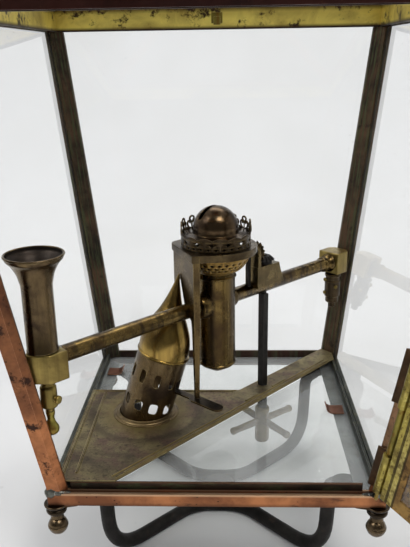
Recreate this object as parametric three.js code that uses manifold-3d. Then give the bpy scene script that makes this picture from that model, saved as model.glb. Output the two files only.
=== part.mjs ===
// A four-sided copper street lantern that narrows towards its base, with its oil burner.
// Millimetres, +Z up, front towards -Y. The origin is on the ground below the middle.
// Inside the lantern group, heights count from the top of the base rails.
// Inside the diagonal group, x runs from the front left corner to the rear right one.

import * as THREE from 'three';
import { mergeVertices } from 'three/addons/utils/BufferGeometryUtils.js';
import Module from 'manifold-3d';

const wasm = await Module();
wasm.setup();

// Lantern body
const baseSide = 274;
const eavesSide = 372;
const bodyHeight = 357;
const standHeight = 105;
const fit = 0.3;
const glass = 2.2;
const sheet = 1.2;

// Corner bars, measured from the lantern's outer faces
const barWidth = 17;
const barFace = 2.5;
const frontFace = 10;
const frontBarWidth = 15;
const coreWall = 0.5;

// Base rails
const railHeight = 11;
const ledgeDrop = 6.5;
const grooveDepth = 5.5;
const upstand = 2;
const flangeReach = 22;
const flangeSheet = 1.5;

// Eaves rim
const rimHeight = 22;
const rimOverhang = 3;
const rimInset = 10;
const rimSheet = 1.5;
const rimGrip = 8;

// Glazed roof and ventilator
const roofRise = 95;
const roofTopSide = 124;
const eavesLip = 5;
const hipWidth = 16;
const hipFace = 2.4;
const roofRing = 3;
const collarSide = 100;
const collarHeight = 6;
const ventRadius = 44;
const ventWall = 1.6;
const skirtHeight = 16;
const drumHeight = 30;
const drumSlots = 10;
const capRadius = 58;
const capHeight = 36;

// Iron bracket under the base
const ironBar = 12.8;
const barFlat = 0.5;
const padRadius = 12.5;
const padThick = 5;
const padAt = 109;
const legRadius = 134.5;
const legTopRadius = 138.5;
const apexReach = 24;
const bossHeight = 14;

// Ball finials under the corners
const ballRadius = 8.2;
const ballAt = 133;

// Base plate and torch guide
const plateThick = 1.2;
const ridgeHeight = 1.1;
const guideRadius = 24;
const guideWall = 1;
const guideFoot = [-69.5, -17];
const beadCentre = [-51, -15, 62.3];
const hoodTip = [-34, -11, 140];
const guideSlots = 10;

// Burner: each level counts from the tube or from the piece below it
const tubeRadius = 7;
const tubeHeight = 109.5;
const cupRadius = 17.5;
const cupTop = tubeHeight + 30.5;
const cupBottom = cupTop - 100.5;
const basketHeight = 18;
const basketTop = cupTop + basketHeight;
const basketRadius = 32;
const wickWidth = 24;
const wickThick = 2;
const wickOffset = 2;
const wickTubeTop = basketTop + 25;
const wickRise = 4;
const wickDip = 14;
const pocketDepth = 24;

// Lifter with its collar, crown and dome
const lifterTurn = 24.7;
const lifterTravel = 11;
const collarTop = basketTop + 7;
const collarLip = 6.5;
const collarRadius = 37;
const collarCorner = 8;
const panelAt = 33.5;
const panelHalf = 28.5;
const notchDepth = 28.5;
const crownRadius = 32;
const crownBand = 10.2;
const prongRise = 12;
const crownUnits = 13;
const domeRadius = 21;
const domeCentre = collarTop + 15.5;
const liftBarTop = 27.8;
const liftBarThick = 1.6;

// Wick gearing
const shaftReach = 62.5;
const shaftOffset = 3;
const shaftSide = 7;
const journalRadius = 3;
const gearTeeth = 14;
const pitchRadius = 10;
const gearFace = 4;
const wheelHeight = cupTop + 8;
const saddleTop = wheelHeight - pitchRadius - 4;
const spindleRadius = 2;
const keyHub = 7.5;
const keyReach = 41.5;

// Filler, drain valve and the blocks on the corner bars
const blockWidth = 26;
const leftBlockLow = tubeHeight - 15;
const leftBlockHigh = tubeHeight + 8.5;
const leftBlockLength = 25;
const rightBlockLow = tubeHeight - 12;
const rightBlockHigh = tubeHeight + 12;
const rightBlockLength = 23;
const funnelRim = 22.75;
const funnelTube = 11.8;
const funnelTop = leftBlockHigh + 74;
const drainLength = 28;
const knobLength = 21;

// Door
const doorOpen = 135;
const doorThick = 5;
const doorGap = 0.5;
const doorLow = 2;
const doorStile = 22;
const doorRail = 17;
const doorLip = 1.5;
const glassHold = 6;
const hingeInset = 9;
const eyeHeight = 6;
const knuckleRadius = 4.2;
const pinRadius = 1.5;
const doorHigh = bodyHeight - 3;
const knuckles = [[2, 38], [82, 126], [doorHigh - 64, doorHigh - 20]];

// Faces around the turned pieces
const roundSteps = 16;

// Colours of the materials
const finish = (color, roughness, metalness, more = {}) =>
  new THREE.MeshStandardMaterial({ color, roughness, metalness, ...more });
const copper = finish(0xbe6a3c, 0.42, 0.9);
const darkCopper = finish(0x4a2b22, 0.5, 0.8);
const patina = finish(0x4b4030, 0.55, 0.75);
const zinc = finish(0x6f7476, 0.5, 0.7);
const brass = finish(0x96824a, 0.38, 0.9);
const agedBrass = finish(0x74602f, 0.4, 0.9);
const darkBrass = finish(0x40372a, 0.5, 0.85);
const plateBrass = finish(0x696048, 0.55, 0.7);
const iron = finish(0x26231f, 0.6, 0.6);
const cotton = finish(0xb9ae98, 0.95, 0);
const clear = finish(0xdfe6e4, 0.05, 0, { transparent: true, opacity: 0.25 });

const v2 = (x, y) => new THREE.Vector2(x, y);
const v3 = (x, y, z) => new THREE.Vector3(x, y, z);
const rad = THREE.MathUtils.degToRad;
const up = v3(0, 0, 1);

// Give back one closed skin: shared corners joined, empty triangles dropped, faces out
function closed(geometry) {
  const bare = new THREE.BufferGeometry();
  bare.setAttribute('position', geometry.attributes.position);
  bare.setIndex(geometry.index);
  const joined = mergeVertices(bare, 1e-4);
  const corner = (i) => v3().fromBufferAttribute(joined.attributes.position, i);
  const faces = [];
  let volume = 0;
  for (let i = 0; i < joined.index.count; i += 3) {
    const [a, b, c] = [0, 1, 2].map((k) => joined.index.getX(i + k));
    if (a === b || b === c || c === a) continue;
    faces.push([a, b, c]);
    volume += corner(a).dot(corner(b).cross(corner(c)));
  }
  joined.setIndex((volume > 0 ? faces : faces.map(([a, b, c]) => [a, c, b])).flat());
  return joined;
}

function toSolid(geometry) {
  const skin = closed(geometry);
  return new wasm.Manifold(new wasm.Mesh({
    numProp: 3,
    vertProperties: new Float32Array(skin.attributes.position.array),
    triVerts: new Uint32Array(skin.index.array),
  }));
}

function fromSolid(solid) {
  const { vertProperties, triVerts } = solid.getMesh();
  const geometry = new THREE.BufferGeometry();
  geometry.setAttribute('position', new THREE.BufferAttribute(vertProperties, 3));
  geometry.setIndex(new THREE.BufferAttribute(triVerts, 1));
  return geometry;
}

const join = (...shapes) =>
  fromSolid(shapes.map(toSolid).reduce((sum, next) => sum.add(next)));

const cut = (body, ...tools) =>
  fromSolid(tools.map(toSolid).reduce((rest, tool) => rest.subtract(tool), toSolid(body)));

// Points of a round outline, or of an arc of it
function arc(radius, from, to, steps, x = 0, y = 0) {
  return Array.from({ length: steps + 1 }, (_, i) => {
    const angle = rad(from + ((to - from) * i) / steps);
    return [x + radius * Math.cos(angle), y + radius * Math.sin(angle)];
  });
}

const circle = (radius, steps, x = 0, y = 0, start = 0) =>
  arc(radius, start, start + 360, steps, x, y).slice(0, steps);

// Raise a flat outline by a height from a level
function raise(outline, height, base = 0, holes = []) {
  const shape = new THREE.Shape(outline.map(([x, y]) => v2(x, y)));
  shape.holes = holes.map((hole) => new THREE.Path(hole.map(([x, y]) => v2(x, y))));
  const geometry = new THREE.ExtrudeGeometry(shape, { depth: height, bevelEnabled: false });
  return geometry.translate(0, 0, base);
}

// Turn a profile of [radius, height] points about the Z axis
function revolve(profile, steps = roundSteps) {
  const points = profile.map(([radius, height]) => v2(radius, height));
  return new THREE.LatheGeometry(points, steps).rotateX(Math.PI / 2);
}

// A square ring with mitred corners, from a closed profile of [half side, height] points
const squareRing = (profile) =>
  revolve(profile.map(([half, z]) => [half * Math.SQRT2, z]), 4).rotateZ(Math.PI / 4);

const rod = (radius, low, high, steps = roundSteps) =>
  revolve([[0, low], [radius, low], [radius, high], [0, high]], steps);

const block = (x0, x1, y0, y1, z0, z1) =>
  new THREE.BoxGeometry(x1 - x0, y1 - y0, z1 - z0)
    .translate((x0 + x1) / 2, (y0 + y1) / 2, (z0 + z1) / 2);

// Lay a shape built along +Z along +X instead
const alongX = (geometry) => geometry.rotateY(Math.PI / 2);

// A plate standing upright in the XZ plane, from y to y + thickness
const upright = (outline, thickness, y) =>
  raise(outline, thickness).rotateX(Math.PI / 2).translate(0, y + thickness, 0);

// Skin between rings of equal count, closed at each end; flat is the ends' outline
function loft(rings, flat) {
  const order = THREE.ShapeUtils.isClockWise(flat) ? (list) => [...list].reverse() : (list) => list;
  const outline = order(flat);
  const count = outline.length;
  const index = [];
  for (let r = 0; r + 1 < rings.length; r++) {
    for (let i = 0; i < count; i++) {
      const a = r * count + i;
      const b = r * count + ((i + 1) % count);
      index.push(a, b, b + count, a, b + count, a + count);
    }
  }
  const last = (rings.length - 1) * count;
  for (const [a, b, c] of THREE.ShapeUtils.triangulateShape(outline, [])) {
    index.push(c, b, a, last + a, last + b, last + c);
  }
  const geometry = new THREE.BufferGeometry();
  geometry.setFromPoints(rings.flatMap((ring) => order(ring)));
  geometry.setIndex(index);
  return geometry;
}

// A straight run of a section of [across, height] points, laid from one point to another
function beam(section, from, to) {
  const run = to.clone().sub(from);
  const outline = section.map(([across, height]) => [-height, across]);
  const geometry = alongX(raise(outline, run.length())).rotateZ(Math.atan2(run.y, run.x));
  return geometry.translate(from.x, from.y, from.z);
}

// Move a shape built along +Z so that it stands at a point, along a direction
const aim = (geometry, at, direction) =>
  geometry
    .applyQuaternion(new THREE.Quaternion().setFromUnitVectors(up, direction))
    .translate(at.x, at.y, at.z);

const lantern = new THREE.Group();
const object = new THREE.Group();
lantern.position.z = standHeight;
object.add(lantern);

function piece(name, geometry, material, parent = lantern) {
  const mesh = new THREE.Mesh(closed(geometry), material.clone());
  mesh.geometry.computeVertexNormals();
  mesh.name = name;
  parent.add(mesh);
}

// Half of the lantern's side at a height above the base rails
const lean = (eavesSide - baseSide) / 2 / bodyHeight;
const halfAt = (z) => baseSide / 2 + lean * z;

// Where the panes lie, counted inwards from the outer face
const paneOut = barFace + fit;
const paneIn = paneOut + glass;
const slotBack = paneIn + fit;
const barDepth = slotBack + sheet;
const slotFloor = barDepth + coreWall;

// A leaning corner bar: its section keeps its size while the corner moves out
function cornerBar(section, sideX, sideY, low, high, half = halfAt) {
  const ring = (z) => section.map(([u, v]) => v3(sideX * (half(z) - u), sideY * (half(z) - v), z));
  return loft([ring(low), ring(high)], ring(low).map((p) => v2(p.x, p.y)));
}

// A sloping panel in the front face, from near to far behind it
function panel(left, right, near, far, low, high, half = halfAt) {
  const ring = (z) => [
    v3(-half(z) + left, -half(z) + near, z),
    v3(half(z) - right, -half(z) + near, z),
    v3(half(z) - right, -half(z) + far, z),
    v3(-half(z) + left, -half(z) + far, z),
  ];
  return loft([ring(low), ring(high)], ring(low).map((p) => v2(p.x, p.y)));
}

// A strip of that face near its right side, from outer to inner
function rightStrip(outer, inner, near, far, low, high) {
  const ring = (z) => [
    v3(halfAt(z) - inner, -halfAt(z) + near, z), v3(halfAt(z) - outer, -halfAt(z) + near, z),
    v3(halfAt(z) - outer, -halfAt(z) + far, z), v3(halfAt(z) - inner, -halfAt(z) + far, z),
  ];
  return loft([ring(low), ring(high)], ring(low).map((p) => v2(p.x, p.y)));
}

// Quarter turns from the front to each side
const sides = { front: 0, right: 1, rear: 2, left: 3 };
const facing = (geometry, side) => geometry.rotateZ((sides[side] * Math.PI) / 2);

// Base rails: ledge outside, groove for the panes, upstand, and a flange under the glass
const paneFoot = fit - ledgeDrop - grooveDepth;
const grooveOuter = halfAt(-ledgeDrop) - paneOut + fit;
const grooveInner = halfAt(paneFoot) - paneIn - fit;
const upstandInner = grooveInner - upstand;
const bottomGlassTop = -ledgeDrop - sheet - 2 * fit;
const flangeTop = bottomGlassTop - glass - fit;
const railBottom = -ledgeDrop - railHeight;

function baseRail() {
  const outer = baseSide / 2;
  const profile = [
    [outer, railBottom], [outer, -ledgeDrop], [grooveOuter, -ledgeDrop],
    [grooveOuter, -ledgeDrop - grooveDepth], [grooveInner, -ledgeDrop - grooveDepth],
    [grooveInner, -ledgeDrop], [upstandInner, -ledgeDrop], [upstandInner, flangeTop],
    [outer - flangeReach, flangeTop], [outer - flangeReach, flangeTop - flangeSheet],
    [upstandInner, flangeTop - flangeSheet], [upstandInner, railBottom],
  ];
  const mitreGap = fit / Math.SQRT2;
  const end = (side) => profile.map(([a, z]) => v3(side * (a - mitreGap), -a, z));
  const lower = loft([end(-1), end(1)], profile.map(([a, z]) => v2(a, z)));
  const reach = halfAt(-ledgeDrop) - Math.max(barWidth, frontBarWidth) - fit;
  return join(lower, block(-reach, reach, -grooveInner, -upstandInner, -ledgeDrop - sheet, 0));
}

const railFinish = { front: copper, right: zinc, rear: patina, left: zinc };
for (const side of Object.keys(sides)) {
  piece(`base_rail_${side}`, facing(baseRail(), side), railFinish[side]);
}

// Corner bars: the rear ones hold a pane on both sides, the front ones on one side
const rearSection = [
  [0, 0], [barWidth, 0], [barWidth, barFace], [slotFloor, barFace], [slotFloor, slotBack],
  [barWidth, slotBack], [barWidth, barDepth], [barDepth, barWidth], [slotBack, barWidth],
  [slotBack, slotFloor], [barFace, slotFloor], [barFace, barWidth], [0, barWidth],
];
const frontSection = [
  [0, 0], [frontFace, 0], [frontBarWidth, frontBarWidth - frontFace],
  [frontBarWidth, slotFloor], [barDepth, slotFloor], [barDepth, barWidth],
  [slotBack, barWidth], [slotBack, slotFloor], [barFace, slotFloor], [barFace, barWidth],
  [0, barWidth],
];
const barLow = -ledgeDrop + fit;
const barHigh = bodyHeight - fit;

// The hinge line runs beside the front right bar, in front of its face
const knuckleOut = doorGap + knuckleRadius;
const hingeFoot = v3(halfAt(0) - hingeInset, -halfAt(0) - knuckleOut, 0);
const hingeLine = v3(lean, -lean, 1).normalize();
const alongHinge = (geometry) => aim(geometry, hingeFoot, hingeLine);
const hingeRing = (radius, low, high) =>
  alongHinge(rod(radius, low / hingeLine.z, high / hingeLine.z, 10));

function hingeEye([, top]) {
  const low = top + fit;
  const high = low + eyeHeight;
  const leaf = rightStrip(0, hingeInset + sheet, -knuckleOut, sheet, low + sheet, high - sheet);
  return join(hingeRing(knuckleRadius, low, high), leaf);
}

const eyes = [[0, barLow + fit], ...knuckles].map(hingeEye);
const rightBar = join(cornerBar(frontSection, 1, -1, barLow, barHigh), ...eyes);
const pinBore = hingeRing(pinRadius + fit, barLow - fit, barHigh);
piece('post_front_left', cornerBar(frontSection, -1, -1, barLow, barHigh), copper);
piece('post_front_right', cut(rightBar, pinBore), copper);
piece('post_rear_right', cornerBar(rearSection, 1, 1, barLow, barHigh), patina);
piece('post_rear_left', cornerBar(rearSection, -1, 1, barLow, barHigh), patina);

const paneInset = slotFloor + fit;
for (const side of ['left', 'right', 'rear']) {
  const pane = panel(paneInset, paneInset, paneOut, paneIn, paneFoot, bodyHeight + rimGrip);
  piece(`pane_${side}`, facing(pane, side), clear);
}

// Eaves rim: a channel turned down over the bars and the panes
const rimOuter = eavesSide / 2 + rimOverhang;
const rimInner = eavesSide / 2 - rimInset;
const rimTop = bodyHeight + rimHeight;
piece('eaves_rim', squareRing([
  [rimInner - rimSheet, bodyHeight], [rimInner, bodyHeight], [rimInner, rimTop - rimSheet],
  [rimOuter - rimSheet, rimTop - rimSheet], [rimOuter - rimSheet, bodyHeight],
  [rimOuter, bodyHeight], [rimOuter, rimTop], [rimInner - rimSheet, rimTop],
  [rimInner - rimSheet, bodyHeight],
]), darkCopper);

// Roof frame: eaves ring, four hips grooved for the panes, and the collar of the ventilator
const roofBase = rimTop + fit;
const roofHalf = rimOuter;
const roofSlope = (roofHalf - roofTopSide / 2) / roofRise;
const roofHalfAt = (z) => roofHalf - roofSlope * (z - roofBase);
const glassRun = glass * Math.hypot(1, roofSlope);
const hipSlot = hipFace + glassRun + 2 * fit;
const hipDepth = hipSlot + sheet;
const hipFloor = hipDepth + coreWall;
const hipSection = [
  [0, 0], [hipWidth, 0], [hipWidth, hipFace], [hipFloor, hipFace], [hipFloor, hipSlot],
  [hipWidth, hipSlot], [hipWidth, hipDepth], [hipDepth, hipWidth], [hipSlot, hipWidth],
  [hipSlot, hipFloor], [hipFace, hipFloor], [hipFace, hipWidth], [0, hipWidth],
];
const roofTop = roofBase + roofRise;
const collarHalf = collarSide / 2;

function roofFrame() {
  const ringOut = roofHalf + eavesLip;
  const ringIn = roofHalf - hipWidth - eavesLip;
  const ringTop = roofBase + roofRing;
  const eaves = squareRing([
    [ringIn, roofBase], [ringOut, roofBase], [ringOut, ringTop], [ringIn, ringTop],
    [ringIn, roofBase],
  ]);
  const collarOut = roofTopSide / 2 + hipFace;
  const collarLow = roofTop - sheet;
  const collar = squareRing([
    [collarHalf - collarHeight, collarLow], [collarOut, collarLow], [collarOut, roofTop + sheet],
    [collarHalf, roofTop + sheet], [collarHalf, roofTop + collarHeight],
    [collarHalf - collarHeight, roofTop + collarHeight], [collarHalf - collarHeight, collarLow],
  ]);
  const corners = [[1, -1], [1, 1], [-1, 1], [-1, -1]];
  const hips = corners.map(([x, y]) =>
    cornerBar(hipSection, x, y, ringTop - sheet, roofTop, roofHalfAt));
  return join(eaves, collar, ...hips);
}
piece('roof_frame', roofFrame(), copper);

for (const side of Object.keys(sides)) {
  const inset = hipFloor + fit;
  const near = hipFace + fit;
  const low = roofBase + roofRing + fit;
  const pane = panel(inset, inset, near, near + glassRun, low, roofTop - sheet - fit, roofHalfAt);
  piece(`roof_pane_${side}`, facing(pane, side), clear);
}

// Ventilator: a skirt from square to round, a slotted drum, and a cap with a finial
const ventBase = roofTop + collarHeight + fit;
const drumTop = ventBase + skirtHeight + drumHeight;

function squareToRound(half, radius, low, middle, high) {
  const steps = 20;
  const ring = (z, squareness) => Array.from({ length: steps }, (_, i) => {
    const angle = (2 * Math.PI * i) / steps;
    const reach = half / Math.max(Math.abs(Math.cos(angle)), Math.abs(Math.sin(angle)));
    const r = radius + (reach - radius) * squareness;
    return v3(r * Math.cos(angle), r * Math.sin(angle), z);
  });
  const rings = [ring(low, 1), ring((low + middle) / 2, 0.4), ring(middle, 0), ring(high, 0)];
  return loft(rings, rings[0].map((p) => v2(p.x, p.y)));
}

function drumSlot(angle) {
  const half = 2.5;
  const low = ventBase + skirtHeight + half;
  return block(ventRadius / 2, 2 * ventRadius, -half, half, low, drumTop - 2 * half).rotateZ(angle);
}

const ventOut = squareToRound(collarHalf, ventRadius, ventBase, ventBase + skirtHeight, drumTop);
const ventIn = squareToRound(collarHalf - ventWall, ventRadius - ventWall, ventBase - fit,
  ventBase + skirtHeight, drumTop + fit);
const slots = Array.from({ length: drumSlots }, (_, i) => drumSlot((2 * Math.PI * i) / drumSlots));
piece('ventilator', cut(ventOut, ventIn, ...slots), copper);

const capBase = drumTop + fit;
const capPeak = capBase + capHeight;
const capEdge = 3;
const capNeck = 6;
const finial = 9.5;
const finialTip = 36;
const capShape = [[0.88, 0.2], [0.72, 0.5], [0.5, 0.72], [0.28, 0.86]];
piece('ventilator_cap', revolve([
  [0, capBase], [capRadius - capEdge, capBase], [capRadius - ventWall, capBase - capEdge],
  [capRadius, capBase - capEdge], [capRadius, capBase],
  ...capShape.map(([across, rise]) => [capRadius * across, capBase + capHeight * rise]),
  [capNeck + capEdge, capPeak - capEdge], [capNeck, capPeak],
  ...arc(finial, -55, 65, 5, 0, capPeak + finial),
  [ventWall, capPeak + finialTip - capEdge], [0, capPeak + finialTip],
], 16), copper);

// Iron bracket: two bent bars back to back, with a boss between them
const ground = -standHeight;
const flangeUnder = flangeTop - flangeSheet;

function bentPath(points, bends) {
  const path = new THREE.CurvePath();
  let last = points[0];
  bends.forEach((bend, i) => {
    const [before, middle, after] = points.slice(i, i + 3);
    const start = before.clone().sub(middle).setLength(bend).add(middle);
    const end = after.clone().sub(middle).setLength(bend).add(middle);
    path.add(new THREE.LineCurve3(last, start));
    path.add(new THREE.QuadraticBezierCurve3(start, middle, end));
    last = end;
  });
  path.add(new THREE.LineCurve3(last, points.at(-1)));
  return path;
}

function bracketBar() {
  const low = ground + ironBar / 2 - barFlat;
  const top = flangeUnder - fit - ironBar / 2;
  const spot = (side, radius, z) => v3((side * radius) / Math.SQRT2, -radius / Math.SQRT2, z);
  const turnAt = apexReach * Math.SQRT2;
  const leg = (side) => [
    spot(side, padAt * Math.SQRT2, top), spot(side, legTopRadius, top - 1),
    spot(side, legRadius, low), spot(side, turnAt, low),
  ];
  const path = bentPath([...leg(-1), ...leg(1).reverse()], [9, 37, 18, 18, 37, 9]);
  const shape = new THREE.Shape(circle(ironBar / 2, 8, 0, 0, 22.5).map(([x, y]) => v2(x, y)));
  const sweep = new THREE.ExtrudeGeometry(shape, { extrudePath: path, steps: 26, bevelEnabled: false });
  const padTop = flangeUnder - fit;
  const pads = [-padAt, padAt].map((x) =>
    rod(padRadius, padTop - padThick, padTop).translate(x, -padAt, 0));
  const wide = 2 * padAt;
  const floor = block(-wide, wide, -wide, wide, ground - ironBar, ground);
  const ceiling = block(-wide, wide, -wide, wide, padTop, padTop + ironBar);
  return cut(join(sweep, ...pads), floor, ceiling);
}
piece('bracket_front', bracketBar(), iron);
piece('bracket_rear', facing(bracketBar(), 'rear'), iron);
const bossRadius = apexReach - ironBar / 2 - fit;
piece('bracket_boss', rod(bossRadius, ground, ground + bossHeight), iron);

// Ball finials under the four corners
for (const [name, x, y] of [
  ['front_left', -1, -1], ['front_right', 1, -1], ['rear_right', 1, 1], ['rear_left', -1, 1],
]) {
  const top = railBottom - fit;
  const neck = 4.2;
  const ball = revolve([
    [0, top], [8.5, top], [8.5, top - 1.6], [5.6, top - 4.4], [neck, top - 6], [4.6, top - 8.5],
    ...arc(ballRadius, 56, -90, 5, 0, top - 8.5 - ballRadius * 0.8),
  ], 12);
  piece(`corner_ball_${name}`, ball.translate(x * ballAt, y * ballAt, 0), darkBrass);
}

// Base plate across the bottom, resting on the upstands
const plateHalf = halfAt(0) - slotFloor - fit;
const plateLow = fit;
const plateTop = plateLow + plateThick;
const cutStart = -82;
const cutSlope = 1.1;
const cutLine = (x) => -plateHalf + cutSlope * (x - cutStart);
const shelfRear = 28;
const shelfCorner = 22;
const shelfSlope = 1.058;
const rearChamfer = barWidth + barDepth - 2 * slotFloor + 2 * fit;
const plateOutline = [
  [-plateHalf, -plateHalf], [cutStart, -plateHalf], [plateHalf, cutLine(plateHalf)],
  [plateHalf, plateHalf - rearChamfer], [plateHalf - rearChamfer, plateHalf],
  [shelfCorner + (plateHalf - shelfRear) / shelfSlope, plateHalf], [shelfCorner, shelfRear],
  [-plateHalf, shelfRear],
];

const diagonalPoint = (along, across) =>
  [(along + across) / Math.SQRT2, (along - across) / Math.SQRT2];
const shaftSpot = diagonalPoint(shaftReach, shaftOffset);
const ridgeSection = [[-1.6, -sheet / 2], [1.6, -sheet / 2], [0.7, ridgeHeight], [-0.7, ridgeHeight]];
const ridge = (x0, y0, x1, y1) => beam(ridgeSection, v3(x0, y0, plateTop), v3(x1, y1, plateTop));

function basePlate() {
  const guideHole = circle(guideRadius - guideWall - coreWall, 32, ...guideFoot);
  const shaftHole = circle(shaftSide / Math.SQRT2 + fit, 16, ...shaftSpot);
  const flat = raise(plateOutline, plateThick, plateLow, [guideHole, shaftHole]);
  const shift = 3 * Math.hypot(1, cutSlope);
  const cutRidges = [[cutStart + 6, plateHalf - 8], [28, 40], [56, 70]].map(([x0, x1], i) => {
    const y = (x) => cutLine(x) + shift * (i ? 3 : 1);
    return ridge(x0, y(x0), x1, y(x1));
  });
  const edge = -plateHalf + 3;
  const sideRidges = [edge, edge + 11].map((x) => ridge(x, -plateHalf + 10, x, shelfRear - 6));
  return join(flat, ...cutRidges, ...sideRidges, ridge(edge + 4, shelfRear - 3, 16, shelfRear - 3));
}
piece('base_plate', basePlate(), plateBrass);

// Bottom glass in two pieces, on the flanges, reaching a little under the plate
const bottomHalf = upstandInner - fit;
const underCut = 12;
const frontGlass = [
  [cutStart - underCut / cutSlope, -bottomHalf], [bottomHalf, -bottomHalf],
  [bottomHalf, cutLine(bottomHalf) + underCut],
];
const underShelf = 3;
const rearGlass = [
  [-bottomHalf, shelfRear - 8], [shelfCorner - 4, shelfRear - 8],
  [shelfCorner + (bottomHalf - shelfRear + underShelf) / shelfSlope, bottomHalf],
  [-bottomHalf, bottomHalf],
];
piece('bottom_glass_front', raise(frontGlass, glass, bottomGlassTop - glass), clear);
piece('bottom_glass_rear', raise(rearGlass, glass, bottomGlassTop - glass), clear);

for (const [name, side, y] of [['left', -1, 88], ['right', 1, 3]]) {
  const inner = side * (bottomHalf - 12);
  const outer = side * bottomHalf;
  const [x0, x1] = [Math.min(inner, outer), Math.max(inner, outer)];
  const low = bottomGlassTop + fit;
  piece(`glass_tab_${name}`, block(x0, x1, y - 6, y + 6, low, low + 1), copper);
}

// Torch guide: a flange ring, a leaning sleeve with two rows of slots, and a pointed hood
const guideBase = plateTop + fit;
const footPoint = v3(...guideFoot, guideBase);
const beadPoint = v3(...beadCentre);
const tipPoint = v3(...hoodTip);
const sleeveLine = beadPoint.clone().sub(footPoint).normalize();
const sleeveLength = beadPoint.distanceTo(footPoint);
const flangeWidth = 3.4;
const flangeRise = 2.2;
const sleeveLean = Math.hypot(sleeveLine.x, sleeveLine.y) / sleeveLine.z;
const flangeInner = guideRadius / sleeveLine.z + flangeRise * sleeveLean + 2 * fit;

piece('guide_flange', revolve([
  [flangeInner, 0], [flangeInner + flangeWidth, 0], [flangeInner + flangeWidth, sheet],
  [flangeInner + sheet, flangeRise], [flangeInner, flangeRise], [flangeInner, 0],
], 20).translate(...guideFoot, guideBase), brass);

const liftStart = v3(-52, -12, 0);
const liftEnd = v3(5, -59.5, 0);

function slotCutter(width, height, centre, angle) {
  const bevel = width / 4;
  const [x, z] = [width / 2, height / 2];
  const outline = [
    [-x, bevel - z], [bevel - x, -z], [x - bevel, -z], [x, bevel - z],
    [x, z - bevel], [x - bevel, z], [bevel - x, z], [-x, z - bevel],
  ];
  return upright(outline, 2 * guideRadius, -2 * guideRadius).translate(0, 0, centre).rotateZ(rad(angle));
}

function sleeve() {
  const inner = guideRadius - guideWall;
  const tube = revolve([
    [inner, -guideRadius], [guideRadius, -guideRadius], [guideRadius, sleeveLength],
    [inner, sleeveLength], [inner, -guideRadius],
  ], 20);
  const step = 360 / guideSlots;
  const cutters = [];
  for (let i = 0; i < guideSlots; i++) {
    const angle = 4 + i * step;
    const besideBar = Math.abs(angle - 76) < step / 2;
    if (!besideBar) cutters.push(slotCutter(5, 13, 0.7 * sleeveLength, angle));
    cutters.push(slotCutter(8, 10, 0.25 * sleeveLength, angle + step / 4));
  }
  const leaning = aim(cut(tube, ...cutters), footPoint, sleeveLine);
  const below = block(-200, 200, -200, 200, -100, guideBase);
  const half = 4.5;
  const low = liftBarTop - liftBarThick - 2 * fit;
  const high = liftBarTop + lifterTravel + 2 * fit;
  const barSlot = beam([[-half, low], [half, low], [half, high], [-half, high]], liftStart, liftEnd);
  return cut(leaning, below, barSlot);
}
piece('guide_sleeve', sleeve(), darkBrass);

// The hood's radius, as a share of the sleeve's, from the bead up to the tip
const hoodCurve = new THREE.SplineCurve([
  [0, 1], [0.12, 1], [0.26, 0.93], [0.4, 0.75], [0.55, 0.53], [0.7, 0.36], [0.85, 0.18], [1, 0.02],
].map(([t, share]) => v2(t, share)));

function hoodLoft(thinner, end) {
  const rings = [];
  const steps = 7;
  const turnTo = tipPoint.clone().sub(beadPoint).normalize();
  for (let i = 0; i <= steps; i++) {
    const { x: t, y: share } = hoodCurve.getPoint((end * i) / steps);
    const centre = beadPoint.clone().lerp(tipPoint, t);
    const axis = sleeveLine.clone().lerp(turnTo, t).normalize();
    const spin = new THREE.Quaternion().setFromUnitVectors(up, axis);
    const radius = Math.max(guideRadius * share - thinner, 0.3);
    const lift = i === 0 ? -thinner : 0;
    rings.push(circle(radius, 14).map(([x, y]) =>
      v3(x, y, lift).applyQuaternion(spin).add(centre)));
  }
  return loft(rings, circle(1, 14).map(([x, y]) => v2(x, y)));
}

function hood() {
  const bead = revolve([
    [guideRadius - guideWall / 2, fit], [guideRadius + guideWall, fit],
    [guideRadius + guideWall, 2 * guideWall], [guideRadius - guideWall / 2, 3 * guideWall],
    [guideRadius - guideWall / 2, fit],
  ], 16);
  const seat = aim(rod(2 * guideRadius, -guideRadius, fit, 8), beadPoint, sleeveLine);
  return cut(join(hoodLoft(0, 1), aim(bead, beadPoint, sleeveLine)), hoodLoft(guideWall, 0.86), seat);
}
piece('guide_hood', hood(), brass);

// Pieces that lie along the diagonal from the front left corner to the rear right one
const diagonal = new THREE.Group();
diagonal.rotation.z = Math.PI / 4;
lantern.add(diagonal);

// A short rod along the diagonal; stages are [radius, end] pairs
function stepped(start, stages, steps = roundSteps) {
  const profile = [[0, start]];
  let from = start;
  for (const [radius, end] of stages) {
    profile.push([radius, from], [radius, end]);
    from = end;
  }
  return alongX(revolve([...profile, [0, from]], steps)).translate(0, 0, tubeHeight);
}

// Reach of the corner blocks towards the corners, and their inner faces, where the tubes end
const leftReach = halfAt(leftBlockLow) - slotFloor - 2 * fit;
const leftChamfer = 2;
const leftBlockFace = Math.SQRT2 * leftReach - leftChamfer - leftBlockLength;
const rightReach = halfAt(rightBlockLow) - barDepth - 2 * fit;
const rightChamfer = (barWidth - barDepth) / Math.SQRT2 + fit;
const rightBlockFace = Math.SQRT2 * rightReach - rightChamfer - rightBlockLength;

const cupCutter = rod(cupRadius + fit, cupBottom, cupTop);
const bossEnd = cupRadius + 8;
const leftTube = stepped(-leftBlockFace + fit, [[tubeRadius, -bossEnd], [tubeRadius + 3.5, 0]]);
piece('left_tube', cut(leftTube, cupCutter), agedBrass, diagonal);

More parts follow.
